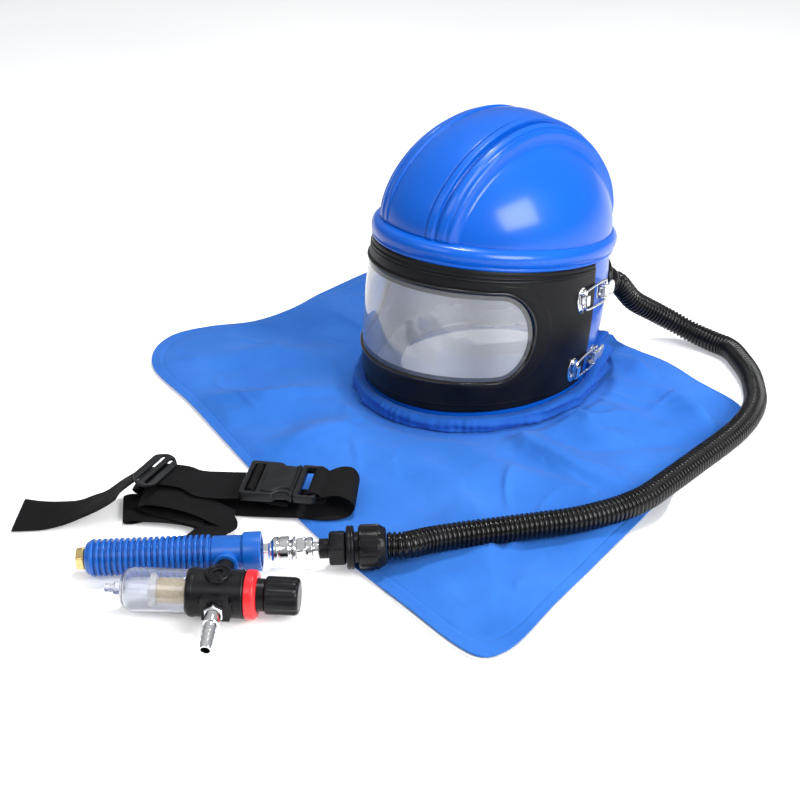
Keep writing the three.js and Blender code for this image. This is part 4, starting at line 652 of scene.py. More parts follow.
# Bead and lens
# A round rubber bead is pressed in along the window's edge and holds the bent clear plastic lens; a
# dark clear band on the lens next to the bead is painted shade, where the bead shades the lens's edge.
BEAD_WIDTH, BEAD_PROUD, LENS_THICKNESS = 5.0, 2.0, 2.0


def clear_finish(name, tint, rough, streak, clear_share):
    """Clear plastic: it passes the clear share of light, with faint streaks along one direction, and
    scatters the rest in its tint as a little milkiness; on the visor's lens this pale scatter is painted
    reflection, and on the lens's edge band the dark tint is painted shade.
    """
    made = bpy.data.materials.new(name)
    made.use_nodes = True
    tree = made.node_tree
    shader = tree.nodes["Principled BSDF"]
    shader.inputs["Transmission Weight"].default_value = clear_share
    shader.inputs["IOR"].default_value = 1.49
    broad = grouped(tree, MOTTLE, {
        "Low": (*(0.72 * c for c in tint), 1), "High": (*tint, 1), "Scale": 16.0, "Detail": 0.0,
        "Stretch": streak})
    tree.links.new(broad.outputs["Colour"], shader.inputs["Base Color"])
    streaks = grouped(tree, MOTTLE, {"Scale": 45.0, "Detail": 2.0, "Stretch": streak})
    spread = node(tree, "ShaderNodeMapRange", {
        "Value": streaks.outputs["Value"], "To Min": rough[0], "To Max": rough[1]})
    tree.links.new(spread.outputs[0], shader.inputs["Roughness"])
    relief = node(tree, "ShaderNodeBump", {
        "Strength": 0.05, "Distance": 0.0004, "Height": streaks.outputs["Value"]})
    tree.links.new(relief.outputs[0], shader.inputs["Normal"])
    return made


BEAD_BLACK = finish_of("bead_black", (0.004, 0.004, 0.004), (0.009, 0.009, 0.01), (0.14, 0.24),
                       mottle=30.0, grain=(500.0, 0.0001, 0.08), Specular_IOR_Level=0.45)
# The lens scatters a fifth of the light in a near-white tint: painted reflection that greys the window.
LENS_CLEAR_PAINTED_REFLECTION = clear_finish("lens_clear", (0.92, 0.95, 0.99), (0.0, 0.03), (1.0, 1.0, 0.08), 0.80)
# Painted shade: a dark clear tint for the band along the lens's edge next to the bead.
PAINTED_EDGE_SHADE = clear_finish("painted_edge_shade", (0.25, 0.26, 0.27), (0.05, 0.12), (1.0, 1.0, 0.3), 0.7)
section = rounded([(GAP, -3.2), (GAP, 0.8), (1.4, BEAD_PROUD), (3.6, BEAD_PROUD - 0.2),
                   (GAP + BEAD_WIDTH, -0.6), (GAP + BEAD_WIDTH, -3.2)], 1.1, closed=True, steps=5)
bead_rings = np.array([face(*window_loop(inset), out) for inset, out in section])
piece("bead_round", [sheet_part(bead_rings, close_rows=True, close_cols=True)], BEAD_BLACK,
      replaces=["window_bead"], sharp=70)
lens_inset = BEAD_WIDTH + 2.4 * GAP
lens_back = -FRAME_WALL + 2 * GAP
lens_reach = window_sizes(lens_inset)[0]
across = lens_reach * np.sin(np.linspace(-math.pi / 2 * 0.985, math.pi / 2 * 0.985, 140))[None, :]
up = np.linspace(-1, 1, 60)[:, None]
share = WINDOW_MID + window_half(across, lens_inset) * up
piece("lens_curved", walled(face(across, share, lens_back),
                            face(across, share, lens_back + LENS_THICKNESS)),
      LENS_CLEAR_PAINTED_REFLECTION, replaces=["visor_lens"])
# A dark clear band just in front of the lens along the bead's inner edge: painted shade from the bead.
edge_shade_rings = [face(*window_loop(inset), out) for inset, out in
               ((lens_inset - 0.3, -1.0), (lens_inset - 0.1, -0.65), (lens_inset + 5.0, -0.85),
                (lens_inset + 5.2, -1.05))]
piece("lens_edge_painted_shade", [sheet_part(np.array(edge_shade_rings), close_rows=True, close_cols=True)], PAINTED_EDGE_SHADE)


# Latches
# Four chromed draw latches, each a catch plate riveted to the frame and a base riveted to the shell,
# with a lever and a bent wire bail. A seat is a flat frame on the wall: x backward, y upward, z
# outward, as the solids have it.
LATCH_LOW, LATCH_HIGH, LATCH_HALF_CELL = 0.17, 0.74, 0.15


def slab(own_frame, outline, low, high, bevel=0.5, holes=(), soft=0.0):
    """A plate from an outline in the frame's XY, bevelled all round, with holes."""
    curve = bpy.data.curves.new("outline", "CURVE")
    curve.dimensions = "2D"
    curve.fill_mode = "BOTH"
    curve.extrude = (high - low) / 2 - bevel
    curve.bevel_depth = bevel
    curve.bevel_resolution = 2
    curve.offset = -bevel
    for line in (outline, *holes):
        line = rounded(line, soft, closed=True) if soft else np.asarray(line, float)
        spline = curve.splines.new("POLY")
        spline.points.add(len(line) - 1)
        spline.use_cyclic_u = True
        spline.points.foreach_set("co", np.c_[line, np.zeros(len(line)), np.ones(len(line))].ravel())
    holder = bpy.data.objects.new("outline", curve)
    bpy.context.scene.collection.objects.link(holder)
    bpy.context.view_layer.update()
    mesh = bpy.data.meshes.new_from_object(holder.evaluated_get(bpy.context.evaluated_depsgraph_get()))
    points = np.zeros(len(mesh.vertices) * 3)
    mesh.vertices.foreach_get("co", points)
    polygons = [list(polygon.vertices) for polygon in mesh.polygons]
    bpy.data.objects.remove(holder)
    bpy.data.curves.remove(curve)
    bpy.data.meshes.remove(mesh)
    points = points.reshape(-1, 3) + (0, 0, (low + high) / 2)
    return within(own_frame, points), np.zeros((0, 4), int), polygons


def tube(points, radius, sides=16):
    """A round rod along a line of points."""
    p = np.asarray(points, float)
    along = unit(np.gradient(p, axis=0))
    normal = np.cross(along[0], (0.3, 0.2, 0.9))
    rings = []
    for centre, direction in zip(p, along):
        normal = unit(normal - direction * (normal @ direction))
        other = np.cross(direction, normal)
        angle = np.linspace(0, 2 * np.pi, sides, endpoint=False)[:, None]
        rings.append(centre + radius * (np.cos(angle) * normal + np.sin(angle) * other))
    ring = np.array(rings)
    flat, quads, _ = sheet_part(ring, close_cols=True)
    return flat, quads, [list(range(sides)), list(range(len(flat) - sides, len(flat)))]


SATIN = finish_of("satin_nickel", (0.66, 0.64, 0.60), (0.76, 0.74, 0.70), (0.3, 0.42), mottle=120.0,
                  grain=(1500.0, 0.0001, 0.08), Metallic=0.85)


def seat(theta_a, theta_b, low, high, out):
    """A flat frame through four points of the wall, moved out until it clears the highest of them."""
    places = ((theta_a, low), (theta_b, low), (theta_b, high), (theta_a, high))
    corners = [face(a, b, out) for a, b in places]
    backward = unit(corners[1] + corners[2] - corners[0] - corners[3])
    upward = unit(corners[2] + corners[3] - corners[0] - corners[1])
    outward = unit(np.cross(backward, upward) * np.sign(theta_a))
    across = unit(np.cross(outward, backward))
    middle = sum(corners) / 4
    proud = max((corner - middle) @ outward for corner in corners)
    return middle + outward * (proud + GAP), np.stack([backward, across, outward])


def oval(a, b, count=48):
    """An ellipse with half axes a and b."""
    turn = np.linspace(0, 360, count, endpoint=False)
    return np.stack([a * cosd(turn), b * sind(turn)], -1)


def moved(own_frame, x, y, z):
    """The same frame with its origin moved."""
    return within(own_frame, (x, y, z)), own_frame[1]


def upright(own_frame, x=0.0, y=0.0, z=0.0):
    """A frame whose Y is the seat's outward direction, for turned parts that stand on it."""
    origin, axes = moved(own_frame, x, y, z)
    return origin, np.stack([axes[1], axes[2], axes[0]])


def lying(own_frame, x=0.0, y=0.0, z=0.0):
    """A frame whose Y is the seat's upward direction, for pins along the hinge."""
    origin, axes = moved(own_frame, x, y, z)
    return origin, np.stack([axes[2], axes[1], -axes[0]])


def standing_profile(own_frame, outline, low, high, bevel):
    """A slab whose outline lies in the seat's X and Z, from low to high along its Y."""
    origin, axes = own_frame
    return slab((origin, np.stack([axes[0], axes[2], -axes[1]])), outline, -high, -low, bevel)


crest_edge = math.degrees(math.asin(CREST_HALF_WIDTH / DOME_HALF_WIDTH))
frame_end = 180 - FRAME_REACH
back_station = 180 - (crest_edge + (frame_end - crest_edge) * 2 / 3)
RIVET = [(1.4, 4.0), (2.2, 3.8), (2.9, 2.4), (3.2, 1.0), (3.2, 0.1)]
WIRE_HEIGHT, WIRE_RADIUS, PIVOT_HEIGHT, LEVER_ARM = 6.0, 1.45, 7.5, 8.0
for name, side, level in (("left_upper", 1, LATCH_HIGH), ("left_lower", 1, LATCH_LOW),
                          ("right_upper", -1, LATCH_HIGH), ("right_lower", -1, LATCH_LOW)):
    low, high = level - LATCH_HALF_CELL, level + LATCH_HALF_CELL
    on_frame = moved(seat(side * 90, side * FRAME_REACH, low, high, 0.0), -5.0, 0.0, 0.0)
    on_shell = seat(side * FRAME_REACH, side * back_station, low, high, SHELL_OUT)
    piece(f"catch_oval_{name}", [
        slab(on_frame, oval(9.0, 15.2), 0.0, 2.0, 0.7),
        turned(upright(on_frame, 0, 9.0), RIVET, 32, 0.3),
        turned(upright(on_frame, 0, -9.0), RIVET, 32, 0.3),
        standing_profile(on_frame, [(1.5, 1.2), (3.9, 1.2), (3.9, 9.5), (-2.5, 9.5), (-2.5, 8.2),
                                    (1.5, 8.1)], -6.4, 6.4, 0.35),
    ], CHROME, replaces=[f"catch_{name}"])
    ear = [(-3.8, 0.8), (3.8, 0.8), (3.8, 8.0), (2.6, 10.6), (0, 11.3), (-2.6, 10.6), (-3.8, 8.0)]
    piece(f"base_folded_{name}", [
        slab(on_shell, [(-5.7, -9.6), (13.7, -9.6), (13.7, 9.6), (-5.7, 9.6)], 0.0, 1.5, 0.4, soft=2.0),
        standing_profile(on_shell, ear, 6.3, 7.7, 0.3),
        standing_profile(on_shell, ear, -7.7, -6.3, 0.3),
        turned(upright(on_shell, 10.6, 4.4), RIVET, 32, 0.3),
        turned(upright(on_shell, 10.6, -4.4), RIVET, 32, 0.3),
    ], CHROME, replaces=[f"latch_base_{name}"])
    paddle = [(x + 19.6, y) for x, y in oval(9.2, 8.8)]
    piece(f"lever_pressed_{name}", [
        standing_profile(on_shell, [(-2.6, 4.4), (11.2, 4.4), (19.0, 7.9), (19.0, 9.8), (-2.6, 9.8)],
                         -6.1, -4.4, 0.4),
        standing_profile(on_shell, [(-2.6, 4.4), (11.2, 4.4), (19.0, 7.9), (19.0, 9.8), (-2.6, 9.8)],
                         4.4, 6.1, 0.4),
        slab(on_shell, [(-2.6, -6.0), (19.0, -6.0), (19.0, 6.0), (-2.6, 6.0)], 8.2, 10.0, 0.6),
        slab(on_shell, paddle, 8.0, 10.4, 0.9),
        turned(lying(on_shell, 0, 0, PIVOT_HEIGHT), [(-7.6, 1.3), (7.6, 1.3)], 24, 0.3),
    ], SATIN, body=f"lever_{name}", replaces=[f"latch_lever_{name}"])
    hook = (within(on_frame, (0, 0, WIRE_HEIGHT)) - on_shell[0]) @ on_shell[1].T
    pin = PIVOT_HEIGHT - 0.5
    half_wire = [(LEVER_ARM, 4.0, pin), (LEVER_ARM, 10.0, pin), (LEVER_ARM - 1.6, 11.8, pin),
                 (hook[0] + 12, 11.8, hook[2] + 0.4), (hook[0] + 3.0, 10.4, hook[2]),
                 (hook[0], 7.6, hook[2]), (hook[0], 0.0, hook[2])]
    whole = half_wire + [(x, -y, z) for x, y, z in half_wire[-2::-1]]
    piece(f"bail_wire_{name}", [tube(within(on_shell, smooth_line(whole, 160)), WIRE_RADIUS, 16)],
          CHROME, body=f"bail_{name}", replaces=[f"latch_bail_{name}"])


# Cloth of the cape
# Woven cloth that comes from under the neck band and lies on the floor in soft folds. Ripples are sums
# of slow waves in fixed directions, so that the cloth is the same in each run.
CLOTH = 1.5
CAPE_LENGTH, CAPE_WIDTH, CAPE_LIP, LIP_BEARING = 700.0, 560.0, 11.0, -22.0
NECK_HOLE_INSET = 14.0
BAND_BULGE, NECK_BAND_TOP = 15.0, 21.0


def math_node(tree, operation, a, b=0.0):
    """One Math node's output."""
    return node(tree, "ShaderNodeMath", {0: a, 1: b}, operation=operation).outputs[0]


def make_weave():
    """Plain weave from a flat position in millimetres: over and under threads of a given pitch."""
    group, given, result = new_group(
        "weave",
        [("Vector", "NodeSocketVector", (0, 0, 0)), ("Pitch", "NodeSocketFloat", 1.0)],
        [("Height", "NodeSocketFloat")])
    turns = node(group, "ShaderNodeVectorMath", {0: given.outputs["Vector"]}, operation="SCALE")
    group.links.new(math_node(group, "DIVIDE", math.pi, given.outputs["Pitch"]), turns.inputs["Scale"])
    parts = node(group, "ShaderNodeSeparateXYZ", {0: turns.outputs[0]})
    across = math_node(group, "SINE", parts.outputs[0])
    along = math_node(group, "SINE", parts.outputs[1])
    group.links.new(math_node(group, "ABSOLUTE", math_node(group, "MULTIPLY", across, along)),
                    result.inputs["Height"])
    return group


WEAVE = make_weave()


def cloth_finish(name, low, high, pitch, relief, sheen, wrinkle=0.0):
    """Woven cloth: cloudy colour, a plain weave, loose fibres and small creases."""
    made = finish_of(name, low, high, (0.72, 0.9), mottle=9.0, detail=5.0, Sheen_Weight=sheen,
                     Sheen_Roughness=0.4, Specular_IOR_Level=0.2)
    tree = made.node_tree
    shader = tree.nodes["Principled BSDF"]
    where = node(tree, "ShaderNodeTexCoord").outputs["Object"]
    millimetres = node(tree, "ShaderNodeVectorMath", {0: where, "Scale": 1000.0}, operation="SCALE")
    threads = grouped(tree, WEAVE, {"Vector": millimetres.outputs[0], "Pitch": pitch})
    fibres = grouped(tree, MOTTLE, {"Scale": 900.0, "Detail": 2.0, "Stretch": (1.0, 0.25, 1.0)})
    creases = grouped(tree, MOTTLE, {"Scale": 16.0, "Detail": 6.0})
    first = node(tree, "ShaderNodeBump", {
        "Strength": 0.35, "Distance": relief, "Height": threads.outputs["Height"]})
    second = node(tree, "ShaderNodeBump", {
        "Strength": 0.25, "Distance": relief, "Height": fibres.outputs["Value"],
        "Normal": first.outputs[0]})
    third = node(tree, "ShaderNodeBump", {
        "Strength": 0.6, "Distance": wrinkle, "Height": creases.outputs["Value"],
        "Normal": second.outputs[0]})
    tree.links.new(third.outputs[0], shader.inputs["Normal"])
    return made


def ripples(x, y, size, seed):
    """The mean of seven sine waves of about one length, with headings and phases drawn from the seed."""
    rng = np.random.default_rng(seed)
    total = 0.0
    for _ in range(7):
        heading = rng.uniform(0, np.pi)
        phase = rng.uniform(0, 2 * np.pi)
        length = size * rng.uniform(0.7, 1.6)
        total = total + np.sin(2 * np.pi * (x * np.cos(heading) + y * np.sin(heading)) / length + phase)
    return total / 7


def line_distance(x, y, line):
    """Distance to a line of points, the signed side of it and how far along it the nearest point is."""
    best = np.full(np.shape(x), 1e9)
    side, where = np.zeros(np.shape(x)), np.zeros(np.shape(x))
    lengths = [math.dist(a, b) for a, b in zip(line, line[1:])]
    start, total = 0.0, sum(lengths)
    for (ax, ay), (bx, by), length in zip(line, line[1:], lengths):
        t = np.clip(((x - ax) * (bx - ax) + (y - ay) * (by - ay)) / length ** 2, 0, 1)
        d = np.hypot(x - ax - t * (bx - ax), y - ay - t * (by - ay))
        cross = (bx - ax) * (y - ay) - (by - ay) * (x - ax)
        near = d < best
        best, side = np.where(near, d, best), np.where(near, np.sign(cross), side)
        where = np.where(near, (start + t * length) / total, where)
        start += length
    return best, side, where


# Folds of the cape
# Each row is a line of points, the width to the left and to the right of it, and the height. A small
# width makes a crease on that side.
CAPE_FOLDS = [
    ([(118, -70), (170, -92), (240, -92), (300, -78)], 30, 12, 10.0),
    ([(100, -140), (170, -150), (240, -130), (290, -118)], 16, 30, 6.0),
    ([(128, -30), (165, -18), (215, -10), (262, 12)], 18, 22, 6.0),
    ([(140, 20), (190, 42), (236, 50)], 16, 24, 5.0),
    ([(126, 106), (193, 117), (265, 106), (280, 104)], 4, 30, 4.5),
    ([(96, 150), (120, 150), (150, 138)], 10, 16, 6.0),
    ([(60, -190), (120, -210), (190, -215)], 30, 36, 4.0),
    ([(-60, -190), (-90, -250), (-130, -300)], 22, 30, 6.0),
    ([(-10, -200), (0, -260), (-20, -330)], 26, 30, 5.0),
    ([(-130, -120), (-190, -160), (-240, -230)], 18, 30, 7.0),
    ([(-150, -20), (-220, -30), (-290, -10)], 20, 26, 6.0),
    ([(-140, 60), (-210, 90), (-280, 130)], 18, 26, 6.0), ([(-90, 150), (-150, 170)], 18, 22, 6.0),
    ([(90, -320), (170, -300), (240, -230)], 34, 40, 3.0),
    ([(150, 0), (180, -5), (190, 30)], 6, 10, 6.5), ([(200, 115), (235, 110), (275, 95)], 4, 16, 6.0),
    ([(150, -70), (210, -40), (250, 10), (275, 60)], 14, 14, -4.5),
    ([(210, -105), (270, -110), (330, -140)], 5, 22, 3.5),
    ([(195, -210), (260, -245), (320, -300)], 6, 26, 4.0),
    ([(-75, -170), (-105, -245), (-160, -290)], 10, 24, 7.0),
    ([(0, -210), (0, -290), (15, -370)], 8, 24, 6.5),
    ([(100, -230), (150, -300), (180, -375)], 9, 24, 5.5),
]
CAPE_OUTLINE = [
    (-0.397, -0.511), (-0.454, -0.455), (-0.476, -0.384), (-0.46, -0.304), (-0.423, -0.213),
    (-0.42, -0.107), (-0.436, 0), (-0.454, 0.179), (-0.45, 0.31), (-0.41, 0.357), (-0.214, 0.366),
    (0, 0.357), (0.106, 0.334), (0.194, 0.339), (0.276, 0.318), (0.374, 0.295), (0.409, 0.255),
    (0.444, 0.018), (0.48, -0.191), (0.526, -0.468), (0.552, -0.63), (0.538, -0.668), (0.383, -0.668),
    (0.204, -0.652), (-0.021, -0.602), (-0.243, -0.545),
]
cape_edge = smooth_line(np.array(CAPE_OUTLINE) * (CAPE_LENGTH, CAPE_WIDTH), 560, closed=True)


def cape_folds(x, y):
    """The sum of the folds: each is a bell of the distance to its line, faded by a sine along it."""
    total = 0.0
    for line, left, right, height in CAPE_FOLDS:
        distance, side, where = line_distance(x, y, line)
        width = np.where(side > 0, left, right)
        fade = np.sin(np.pi * np.clip(0.12 + 0.76 * where, 0, 1))
        total = total + height * np.exp(-((distance / width) ** 2)) * fade
    return total


def creases(x, y):
    """Soft waves and two sets of thin creases, which run along the zero lines of the waves."""
    waves = 3.0 * (1 + ripples(x, y, 120, 3)) + 1.0 * (1 + ripples(x, y, 42, 5))
    long_lines = 3.0 * np.exp(-((ripples(x, y, 210, 7) / 0.045) ** 2))
    short_lines = 1.8 * np.exp(-((ripples(x, y, 120, 8) / 0.05) ** 2))
    return waves + (long_lines + short_lines) * ease(ripples(x, y, 150, 11), -0.1, 0.35)


def free_of_belt(x, y):
    """Nought where the belt and the hose's end lie on the cloth, one elsewhere."""
    belt, _, _ = line_distance(x, y, [(20, -395), (60, -350), (125, -300)])
    return ease(belt, 50.0, 110.0)


def cape_grid(bottom, lip, folded, rows):
    """The sheet's lower side: spokes from the neck hole under the band out to the edge."""
    theta = np.degrees(np.arctan2(cape_edge[:, 0] / RIM_HALF_WIDTH, -cape_edge[:, 1] / RIM_HALF_LENGTH))
    bearing = np.degrees(np.arctan2(cape_edge[:, 1], cape_edge[:, 0]))
    past = lip * np.clip(cosd(bearing - LIP_BEARING), 0, 1) ** 6 * (1 + 0.3 * sind(bearing * 19))
    reach = np.linalg.norm(cape_edge, axis=1)
    tucked = 6.0 if lip > 0 else 1.0
    edge = cape_edge * ((reach - tucked + past * (1 + tucked / CAPE_LIP)) / reach)[:, None]
    neck = rim(theta, bottom, -NECK_HOLE_INSET + 0 * theta)
    foot = rim(theta, bottom, BAND_BULGE + 3 + 0 * theta)
    rows = np.asarray(rows)
    flat = np.c_[edge, np.full(len(edge), bottom)]
    grid = foot + (flat - foot) * rows[:, None, None]
    x, y = grid[..., 0], grid[..., 1]
    clear = ease(rows, 0.0, 0.10) * (1 - 0.8 * ease(rows, 0.86, 1.0))
    lift = folded * clear[:, None] * free_of_belt(x, y) * (1.6 * cape_folds(x, y) + creases(x, y))
    grid[..., 2] += lift
    return np.concatenate([neck[None], grid])


# Upper layer of the cape
# Blue cloth, cut as an oval with a neck hole; its edge is turned under and stitched, which shows as a
# low hem and a thin groove along its inner side.
CLOTH_BLUE = cloth_finish("cloth_blue", (0.016, 0.118, 0.46), (0.034, 0.165, 0.58), 0.9, 0.0004, 0.06,
                          0.0032)
cape_rows = np.concatenate([np.linspace(0, 0.9, 64), np.linspace(0.906, 1, 22)])
lower = cape_grid(CLOTH + GAP, 0.0, 1.0, cape_rows)
from_edge = (1 - cape_rows) * 200
hem = 0.55 * (1 - ease(from_edge, 9.0, 10.5)) - 0.5 * bell(from_edge, 11.2, 1.0)
upper = lower.copy()
upper[..., 2] += CLOTH - 0.3
upper[1:, :, 2] += hem[:, None]
cape = piece("cape_cloth", walled(lower, upper, True), CLOTH_BLUE, replaces=["cape_upper"], sharp=75)

# Lower layer of the cape
# White cloth under the blue one. Its edge shows as a narrow wavy strip past the hem on the wearer's
# left.
CLOTH_WHITE = cloth_finish("cloth_white", (0.62, 0.64, 0.66), (0.76, 0.77, 0.78), 0.7, 0.0003, 0.1,
                           0.0016)
lower = cape_grid(0.15, CAPE_LIP, 0.0, np.linspace(0, 1, 60))
upper = lower.copy()
upper[..., 2] += CLOTH - 0.3
lining = piece("cape_lining", walled(lower, upper, True), CLOTH_WHITE, replaces=["cape_lower"],
               sharp=75)

# Neck band
# A gathered casing of the blue cloth round the shell's foot. Its section is a soft roll with many small
# pleats of uneven depth, and spare cloth bunches up behind the lower left latch.
NECK_BLUE = cloth_finish("neck_blue", (0.008, 0.084, 0.40), (0.02, 0.125, 0.52), 0.9, 0.0004, 0.06,
                         0.0026)
NECK_SECTION = [(0, 0), (0.8, 0), (0.97, 0.1), (1.0, 0.35), (0.98, 0.7), (0.88, 0.92), (0.66, 1.0),
                (0.3, 1.0), (0, 0.92)]
neck_in, neck_low = SHELL_OUT + 2 * GAP, 2 * CLOTH + 2 * GAP
profile = rounded(NECK_SECTION, 0.12, closed=True, steps=6)
profile = smooth_line(profile, 64, closed=True)
theta = np.linspace(0, 360, 1080, endpoint=False)
pleats = 0.5 * sind(theta * 41 + 70 * sind(theta * 3)) + 0.5 * sind(theta * 23 + 90 * cosd(theta * 2))
bunch = bell(theta, 135, 13)
fine = sind(theta * 96 + 160 * sind(theta * 7)) * (0.6 + 0.4 * sind(theta * 11))
neck_rings = []
for out, height in profile:
    roll = np.sin(2 * np.pi * (1.35 * height + theta / 85 + 0.12 * sind(theta * 5)))
    twist = np.sin(2 * np.pi * (2.1 * height + (theta - 110) / 24))
    wrinkle = 0.8 * pleats + 0.8 * roll + 0.55 * fine + 2.4 * ripples(theta * 2.4, height * 30, 34, 9)
    depth = out * wrinkle + bunch * out * (5.4 * twist + 6)
    top = NECK_BAND_TOP + 37 * bunch + 5 * bell(theta, 152, 7)
    top += 2.0 * ripples(theta * 2.4, 0 * theta, 110, 12)
    ring = rim(theta, 0.0, neck_in + out * (BAND_BULGE - 1.2) + depth)
    ring[..., 2] = neck_low + height * (top - neck_low - 1.4) + 0.4 * height * pleats
    neck_rings.append(ring)
neck = piece("neck_gathered", [sheet_part(np.array(neck_rings), close_rows=True, close_cols=True)],
             NECK_BLUE, replaces=["neck_band"], sharp=80)

# Inner collar
# A soft white sheet from the skirt up and in to the neck hole, crumpled in lumps of three sizes. It
# shows through the window.
COLLAR_HOLE_HALF_LENGTH, COLLAR_HOLE_HALF_WIDTH, COLLAR_RISE = 102.0, 85.0, 30.0
theta = np.linspace(0, 360, 300, endpoint=False)[None, :]
inward = np.linspace(0, 1, 50)[:, None]
outer = rim(theta + 0 * inward, 0.0, SHELL_IN - 2.4 + 0 * inward)
hole = np.stack([COLLAR_HOLE_HALF_WIDTH * sind(theta), -COLLAR_HOLE_HALF_LENGTH * cosd(theta),
                 0 * theta], -1)
collar = outer + (hole - outer) * inward[..., None]
rise = np.interp(inward, (0, 0.25, 0.45, 0.7, 1), (0, 0.72, 1.0, 0.86, 0.55))
lumps = 0.16 * cosd(3 * (theta - 40)) + 0.14 * cosd(5 * (theta - 110)) + 0.08 * cosd(8 * (theta - 15))
x, y = collar[..., 0], collar[..., 1]
crumple = 0.22 * np.abs(ripples(x, y, 46, 21)) + 0.12 * np.abs(ripples(x, y, 21, 22))
soft = np.sin(np.pi * np.minimum(inward, 0.8)) * (lumps + 1.6 * crumple)
collar[..., 2] = SKIRT_BOTTOM + 2 + COLLAR_RISE * (rise + soft)
upper = collar.copy()
upper[..., 2] += 1.1
inner = piece("collar_crumpled", walled(collar, upper, True), CLOTH_WHITE, replaces=["inner_collar"],
              sharp=80)

# Air port
# A turned plastic flange on the back of the shell, with a spigot that heads back and down into the
# hose. Both are rings of a profile about their own axes.

def frame_at(origin, along):
    """Origin and axes with +Y along a direction."""
    along = unit(along)
    side = np.cross(along, (0, 0, 1.0))
    side = unit(side) if np.linalg.norm(side) > 1e-3 else np.array([1.0, 0, 0])
    return np.asarray(origin, float), np.stack([side, along, np.cross(side, along)])


port = frame_at(port_base, face_normal(PORT_ANGLE, PORT_SHARE))
spigot = frame_at(port_base, port_axis)
piece("port_turned", [
    turned(port, [(-1.0, 8), (-1.0, 26.6), (3.5, 26.9), (5.0, 25.0), (5.0, 8)], 96, 0.9),
    turned(spigot, [(-2.0, 12), (0.0, 16.3), (12.0, 16.3), (14.0, 15.6), (17.0, 14.4), (17.0, 11)], 72,
           0.9),
], PLASTIC_BLACK, replaces=["hose_port"])

# Cooler
# A moulded blue plastic tube with fins and one wider valley, a smooth end with the branch to the
# regulator, and a collar with a rounded mouth. A brass nut closes its far end, and a bent bar holds it
# to the belt.
COOLER_BLUE = finish_of("cooler_blue", (0.002, 0.085, 0.40), (0.006, 0.115, 0.50), (0.24, 0.34),
                        mottle=30.0, grain=(600.0, 0.0002, 0.12))
BRASS = finish_of("brass", (0.62, 0.44, 0.17), (0.8, 0.62, 0.3), (0.18, 0.3), mottle=150.0,
                  grain=(1200.0, 0.0001, 0.08), Metallic=1.0)
FINS, FIN_PITCH, FIN_START = 21, 5.4, 14.3
cooler_rows = [(8.8, 4), (8.8, 12.4), (10.6, 15.2), (13.6, 16.6)]
for i in range(FINS):
    at = FIN_START + i * FIN_PITCH
    valley = COOLER_RADIUS - 3.4
    cooler_rows += [(at + 0.5, COOLER_RADIUS - 0.2), (at + 1.1, COOLER_RADIUS),
                    (at + 2.6, COOLER_RADIUS), (at + 3.1, COOLER_RADIUS - 0.3), (at + 3.4, valley),
                    (at + (6.6 if i == 3 else 5.3), valley)]
cooler_rows += [(FIN_START + FINS * FIN_PITCH + 0.6, 16.2), (155.6, 16.2), (157.2, 18.2), (158.0, 18.9),
                (173.4, 18.9), (174.2, 18.0), (174.2, 15.2), (171.4, 14.2), (171.4, 4)]
REGULATOR = line_frame(96, -577, 23.2, 43.7)
PORT_AT = 106.6
BRANCH_AT = 142.5
port_centre = within(REGULATOR, (0, PORT_AT, 0))
branch_foot = within(AIR_LINE, (0, BRANCH_AT, 0))
branch_way = unit(port_centre - branch_foot)
branch = frame_at(branch_foot, branch_way)
branch_length = float(np.linalg.norm(port_centre - branch_foot))
piece("cooler_finned", [
    turned(AIR_LINE, cooler_rows, 96, 0.35),
    turned(branch, [(6, 10.6), (16.4, 10.2), (18.4, 11.4), (21.6, 11.4), (21.6, 6)], 64, 0.8),
], COOLER_BLUE, replaces=["cooler"])
piece("branch_stub", [
    turned(branch, [(22.1, 6), (22.1, 8.4), (branch_length - 27.9, 8.4), (branch_length - 27.9, 6)], 48,
           0.3),
], PLASTIC_BLACK, replaces=["branch_nipple"])
piece("cooler_nut_hex", [
    turned(AIR_LINE, [(5, 3), (5, 5.2), (0.5, 5.4), (0.0, 6.0), (0.0, 10.2), (1.4, 11.9), (7.2, 11.9),
                      (8.4, 10.8), (8.4, 4)], 96, 0.4,
           ribs=hexagon(0.98)),
], BRASS, replaces=["cooler_nut"])
keeper = [(-17.9, 82.5, 0), (-24.6, 82.5, 0), (-24.9, 84, 0), (-24.9, 138, 0), (-24.6, 140, 0),
          (-17.9, 140, 0)]
piece("keeper_bar", [tube(within(AIR_LINE, rounded(keeper, 3.0)), 2.5, 16)], PLASTIC_BLACK,
      replaces=["belt_keeper"])

# Coupler
# Chromed metal, set into the cooler's collar: a hexagon neck, and a socket with its sleeve. The sleeve
# slides towards the cooler to let the plug go.
piece("coupler_body", [
    turned(AIR_LINE, [(171.7, 4), (171.7, 8.4), (180.6, 8.4), (182.6, 9.4), (182.6, 4)], 96, 0.5,
           ribs=hexagon(0.985)),
    turned(AIR_LINE, [(182.4, 5), (182.4, 9.4), (201.6, 9.4), (203.2, 10.6), (204.2, 12.6),
                      (206.5, 12.6), (206.5, 5)], 64, 0.4),
], CHROME, replaces=["coupler_socket"])
piece("sleeve_turned", [
    turned(AIR_LINE, [(183.7, 9.85), (183.7, 10.6), (186.4, 13.1), (189.6, 13.1), (190.1, 12.3),
                      (191.4, 12.3), (191.9, 13.1), (199.8, 13.1), (200.5, 12.5),
                      (200.5, 9.85)], 64, 0.4, closed=True),
], CHROME, body="sleeve", replaces=["coupler_sleeve"])

